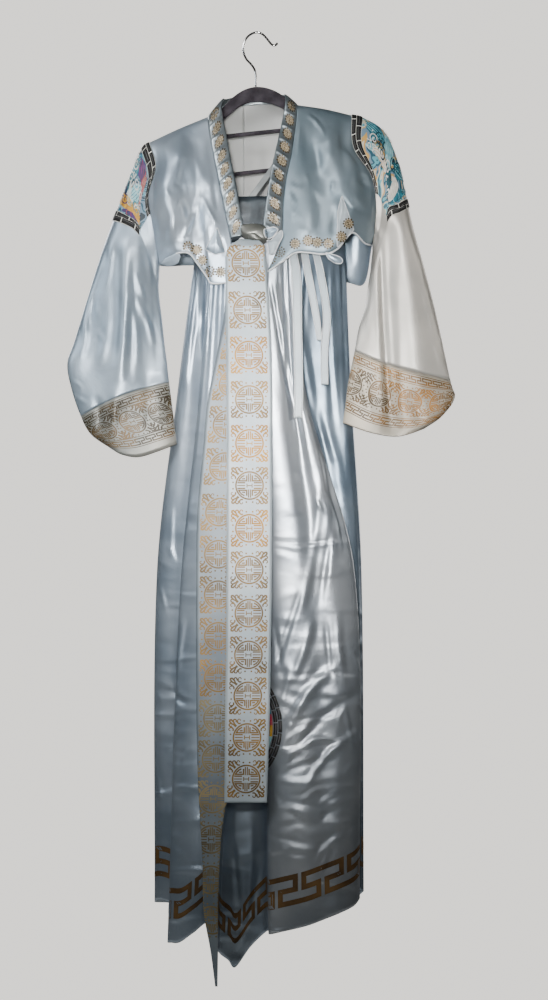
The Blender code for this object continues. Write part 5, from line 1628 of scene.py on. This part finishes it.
for node, over_x, foot_x, front_y, back_y in STRAPS:
    foot_z = BAND_TOP_Z + STRAP_FOOT_RISE
    path = through(STRAP_PATH, STRAP_STEPS)
    grid = []
    for side in np.linspace(-STRAP_HALF, STRAP_HALF, STRAP_COLUMNS):
        foot_y = np.where(path[:, 1] < 0, front_y, back_y)
        x = foot_x + (over_x - foot_x) * path[:, 0] + side
        y = foot_y + (path[:, 1] - foot_y) * path[:, 0]
        z = foot_z + (arm_top(over_x + side) + path[:, 2] - foot_z) * path[:, 0]
        grid.append(np.stack([x, y, z], axis=1))
    cloth_piece(node + "_cloth", Sheet(np.array(grid), 1), "strap_cotton", [node])

KNOT_RINGS = 41
KNOT_SIDES = 48
knot = []
angles = np.linspace(0, 2 * np.pi, KNOT_SIDES, endpoint=False)
for x, z, half_height, half_depth in through(KNOT, KNOT_RINGS):
    ripple = 1 + 0.05 * np.sin(5 * angles + x / 6)
    knot.append(np.stack([np.full(KNOT_SIDES, x), KNOT_Y + half_depth * ripple * np.cos(angles),
                          z + half_height * ripple * np.sin(angles)], axis=1))
knot_cloth = Sheet(np.array(knot), 1, closed=True)
# The knot's darker satin is painted shade.
cloth_piece("tie_knot_cloth", knot_cloth, "dark_satin", ["tie_knot"])


# Turned-over cloth, a fold of painted shade and a patch of painted highlight by the knot, and round marks along the
# jacket's hem

right_view = FrontView(right.front)
left_view = FrontView(left.front)
knot_view = FrontView(knot_cloth)
# Name, cloth it lies on, outline, lift, bulge, finish, slot and radius of its white edge.
FLAPS = (
    ("flap_left", left_view, ((-68.6, -347), (-54.4, -391.3), (-72.8, -395), (-89.4, -385.7)), 1.4, 4.0, "satin"),
    ("hem_turn_left", left_view, ((-171, -409), (-158, -396), (-139, -389), (-132, -396), (-137, -410),
                                  (-150, -414), (-160, -412)), -0.6, 1.0, "satin", "satin", 0),
    ("flap_right", right_view, ((147.7, -292.8), (141, -318), (139.1, -370.5), (140, -383), (155.2, -366.5),
                                (169.2, -350.4), (163.1, -334.3)), 1.4, 4.5, "ribbon_satin"),
    ("bow_right", right_view, ((119, -391), (130, -394), (143, -398), (150, -404), (147, -411), (136, -410),
                               (124, -402)), 0.6, 2.5, "satin"),
    ("tie_peak", knot_view, ((-49, -386), (-46, -380), (-40, -377.5), (-26.2, -365.4), (-17.7, -371.5),
                             (-12, -384), (-20, -390), (-40, -392)), 3.0, 1.6, "ribbon_satin", "ribbon_satin"),
    # A fold of darker satin beside the knot: painted shade.
    ("tie_fold", knot_view, ((-15.7, -360), (-4, -358), (8, -366), (14, -380), (13, -390), (-4, -389),
                             (-12, -380)), 2.0, 3.0, "dark_satin", "ribbon_satin", 0),
    # A small pale patch on the dark fold: a painted highlight.
    ("tie_glint", knot_view, ((0, -371), (6, -372), (9, -381), (3, -383)), 5.6, 0.6, "ribbon_satin",
     "ribbon_satin", 0),
    ("collar_end", knot_view, ((12.2, -351.8), (13.1, -360.5), (15.8, -366.6), (21, -367.5), (28, -364.4),
                               (34.1, -357), (37.6, -350.9), (29.8, -346.5)), 2.5, 1.5, "satin", "satin", 0.9),
    ("inner_flap", knot_view, ((17.5, -369), (24.5, -371), (34, -359), (43.8, -352), (45.5, -362),
                               (36.8, -380), (29.8, -394), (21.9, -394.6)), 0.8, 1.5, "ribbon_satin"),
    ("collar_point", knot_view, ((-8, -338), (8, -354), (1, -352)), 0.5, 0.6, "ribbon_satin", "satin", 0),
)
for row in FLAPS:
    flap(*row)
RIGHT_HEM_MARKS = ((66.5, -376, 0), (89, -370.5, 20), (105, -374, 60), (124, -376, 0), (24.5, -402, 30), (40, -390, 0))
LEFT_HEM_MARKS = ((-119, -381, 10), (-104, -386, 0), (-95, -404, 40), (-81.5, -424, 60), (-63, -425, 80))
FLAP_MARKS = ((159, -341, 20), (147, -364, 0))


def marks_at(places, shapes, scale=0.95):
    """A mark at each place of the front view, turned by its angle."""
    made = []
    for x, z, angle in places:
        made += turned(shapes, angle, scale, x, z)
    return made


HEM_MARK_LIFT = 0.3     # of a hem mark's ground off the cloth, and of the mark off its ground


def front_marks(name, view, places, lift):
    """Small medallions on their pale ground."""
    for label, shapes, high, thread in (
            ("hem_grounds_", medallion_ground(), lift, "blush_thread"),
            ("hem_marks_", small_medallion(), lift + HEM_MARK_LIFT, "olive_thread")):
        front_print(label + name, view, marks_at(places, shapes), high, thread)


front_marks("right", right_view, RIGHT_HEM_MARKS, HEM_MARK_LIFT)
front_marks("left", left_view, LEFT_HEM_MARKS, HEM_MARK_LIFT)


class Raised:
    """A front view whose places stand out by a constant."""

    def __init__(self, view, lift):
        self.view, self.lift = view, lift

    def hit(self, x, z):
        return np.array((x, self.view.depth(x, z) - self.lift, z)), np.array((0.0, -1.0, 0.0))


FLAP_RISE = 6.4         # from the cloth to the top of the right flap
front_marks("flap", Raised(right_view, FLAP_RISE), FLAP_MARKS, 0.0)


# The skirt's round embroidery, of which the long ties hide the greater part

ROUND_CENTRE = (-82.0, -1214.5)
ROUND_RADII = (123.0, 115.2)
ROUND_BRICK = 22.0
ROUND_FROM_X = 4.0      # what lies further left is behind the ties
ROUND_REACH = 0.8       # radians up and down from the middle
ROUND_HEIGHTS = (6.6, 0.9)      # of a brick and of the line along it
ROUND_STRANDS = np.arange(93.0, 110.5, 1.6)     # radii of the coloured strands
ROUND_STROKE = 1.3
ROUND_LIFT = 0.4
FRONT_FOLDS = 23        # rows of the fold table that the front view sees


def ring_bricks(centre, radius, height, shift, first, last):
    """Bricks along an arc in the front view, as outlines, from one angle to another."""
    pitch = ROUND_BRICK / radius
    bricks = []
    for step in range(int((last - first) / pitch)):
        start = first + (step + shift) * pitch
        angles = np.linspace(start + 0.035 * pitch, start + 0.965 * pitch, 7)
        outer = pairs(np.cos(angles), np.sin(angles))
        bricks.append(np.vstack([outer * (radius + height / 2), outer[::-1] * (radius - height / 2)]) + centre)
    return bricks


skirt_view = FrontView(skirt.part(slice(0, FRONT_FOLDS * FOLD_STEPS)))


def skirt_put(shape, lift):
    """Points of a shape on the skirt's front, or None where it misses the cloth."""
    found = [skirt_view.hit(x, z) for x, z in shape]
    if any(place is None for place in found):
        return None
    return [place + normal * lift for place, normal in found]


round_bricks, round_slits = (
    [shape[::-1] for row, radius in enumerate(ROUND_RADII)
     for shape in ring_bricks(ROUND_CENTRE, radius, height, 0.5 * row, -ROUND_REACH, ROUND_REACH)
     if shape[:, 0].min() > ROUND_FROM_X] for height in ROUND_HEIGHTS)
pads("skirt_round_bricks", skirt_put, round_bricks, 0.3, 1.0, "black_thread", 0.96)
pads("skirt_round_slits", skirt_put, round_slits, 0.9, 1.15, "grey_thread", 0.9)
for colour, low, high in (("mustard_thread", -0.16, 0.02), ("pink_thread", 0.02, 0.2), ("teal_thread", 0.2, 0.4),
                          ("aqua_thread", -0.36, -0.16)):
    strands = [shape for radius in ROUND_STRANDS
               for shape in arc(*ROUND_CENTRE, radius, math.degrees(low), math.degrees(high), ROUND_STROKE, 10)
               if shape[:, 0].min() > ROUND_FROM_X]
    if strands:
        front_print("skirt_round_" + colour, skirt_view, strands, ROUND_LIFT, colour)


# Hanger

ARM_STEPS = 160
ARM_SIDES = 40
ARM_HALF_DEPTH = 4.0
RAIL_RADIUS = 3.9
RAIL_STEPS = 70
HOOK_STEPS = 120
arms = []
angles = np.linspace(0, 2 * np.pi, ARM_SIDES, endpoint=False)
c, s = np.cos(angles), np.sin(angles)
arm_xs = np.linspace(ARM[0][0], ARM[-1][0], ARM_STEPS)
for x, (z, height) in zip(arm_xs, hermite(ARM, arm_xs)):
    half = height / 2
    y = ARM_HALF_DEPTH * np.sign(c) * np.abs(c)**0.6
    up = half * np.sign(s) * np.abs(s)**0.5
    arms.append(np.stack([np.full(ARM_SIDES, x), y, z - half + up], axis=1))
arm_points = np.array(arms)
arm_faces = [list(face) for face in Sheet(arm_points, -1, closed=True).faces()]
arm_last = (ARM_STEPS - 1) * ARM_SIDES
arm_faces += [list(range(ARM_SIDES)), list(range(arm_last + ARM_SIDES - 1, arm_last - 1, -1))]
settled(mesh_object("hanger_arms_velvet", arm_points.reshape(-1, 3), arm_faces, ["velvet"]),
        ["hanger_arms"])


def run_of(line, steps):
    """A smooth path through the points (x, z) of a line in the hanger's plane."""
    run = through(line, steps)
    return np.stack([run[:, 0], np.zeros(steps), run[:, 1]], axis=1)


for node, line in RAILS:
    tube(node + "_velvet", run_of(line, RAIL_STEPS), RAIL_RADIUS, "velvet", [node], 16)
tube("hook_wire", run_of(HOOK, HOOK_STEPS), HOOK_RADIUS, "chrome", ["hook"], 16)


# Stage, light and camera

FLOOR_RADIUS = 1.1
FLOOR_Z = -1.9
FLOOR_SIDES = 96
AMBIENT = 0.075        # strength of the light from all round
BACKDROP = 1.75        # and of the plain ground that the camera sees
CAMERA_LENS = 102.9
CAMERA_PLACE = (0.030, -5.03, -0.821)   # in metres


def disc(name, radius, z, material):
    """A round floor. It lies under the garment and ends before the front view sees it."""
    turns = [2 * math.pi * k / FLOOR_SIDES for k in range(FLOOR_SIDES)]
    corners = [(radius * math.cos(turn), radius * math.sin(turn), z) for turn in turns]
    mesh = bpy.data.meshes.new(name)
    mesh.from_pydata(corners, [], [tuple(range(FLOOR_SIDES))])
    mesh.materials.append(finishes[material])
    body = bpy.data.objects.new(name, mesh)
    bpy.context.scene.collection.objects.link(body)


def area_light(name, place, target, size, power, colour, spread=180):
    """A lamp that looks at its target. spread is its angle in degrees."""
    light = bpy.data.lights.new(name, "AREA")
    light.shape = "RECTANGLE"
    light.size, light.size_y = size
    light.energy = power
    light.color = colour
    light.spread = math.radians(spread)
    lamp = bpy.data.objects.new(name, light)
    lamp.location = place
    lamp.rotation_euler = (Vector(target) - Vector(place)).to_track_quat("-Z", "Y").to_euler()
    bpy.context.scene.collection.objects.link(lamp)


disc("floor", FLOOR_RADIUS, FLOOR_Z, "floor_finish")
area_light("key", (-0.95, -1.2, 0.5), (-0.08, 0, -0.28), (0.8, 0.35), 19, (1.0, 0.99, 0.97))
area_light("side_left", (-1.7, -1.1, 0.2), (0, 0, -0.5), (0.3, 0.8), 10, (0.88, 0.95, 1.0))
area_light("side_right", (1.9, -1.0, 0.2), (0.15, 0, -0.6), (0.3, 0.8), 6, (1.0, 0.95, 0.88))
area_light("front", (-0.1, -2.7, -0.45), (0.05, 0, -0.68), (0.35, 0.35), 4.4, (1.0, 0.98, 0.95), 31)
area_light("back_left", (-1.8, 2.2, 0.5), (0, 0, -0.6), (0.9, 1.0), 44, (0.97, 0.98, 1.0))
area_light("back_right", (2.2, 2.1, -0.2), (0, 0, -0.8), (0.5, 1.2), 28, (1.0, 0.97, 0.93))

world = bpy.data.worlds.new("studio")
world.use_nodes = True
bpy.context.scene.world = world
tree = world.node_tree
background = tree.nodes["Background"]
background.inputs["Color"].default_value = colour_of(226, 224, 219)
background.inputs["Strength"].default_value = AMBIENT
seen = added(tree, "Background", Color=colour_of(232, 229, 223), Strength=BACKDROP)
mixer = added(tree, "MixShader")
tree.links.new(added(tree, "LightPath").outputs["Is Camera Ray"], mixer.inputs["Fac"])
tree.links.new(background.outputs["Background"], mixer.inputs[1])
tree.links.new(seen.outputs["Background"], mixer.inputs[2])
tree.links.new(mixer.outputs["Shader"], tree.nodes["World Output"].inputs["Surface"])

camera_data = bpy.data.cameras.new("camera")
camera_data.lens = CAMERA_LENS
camera = bpy.data.objects.new("camera", camera_data)
camera.location = CAMERA_PLACE
camera.rotation_euler = (math.radians(90), 0, 0)
bpy.context.scene.collection.objects.link(camera)
bpy.context.scene.camera = camera
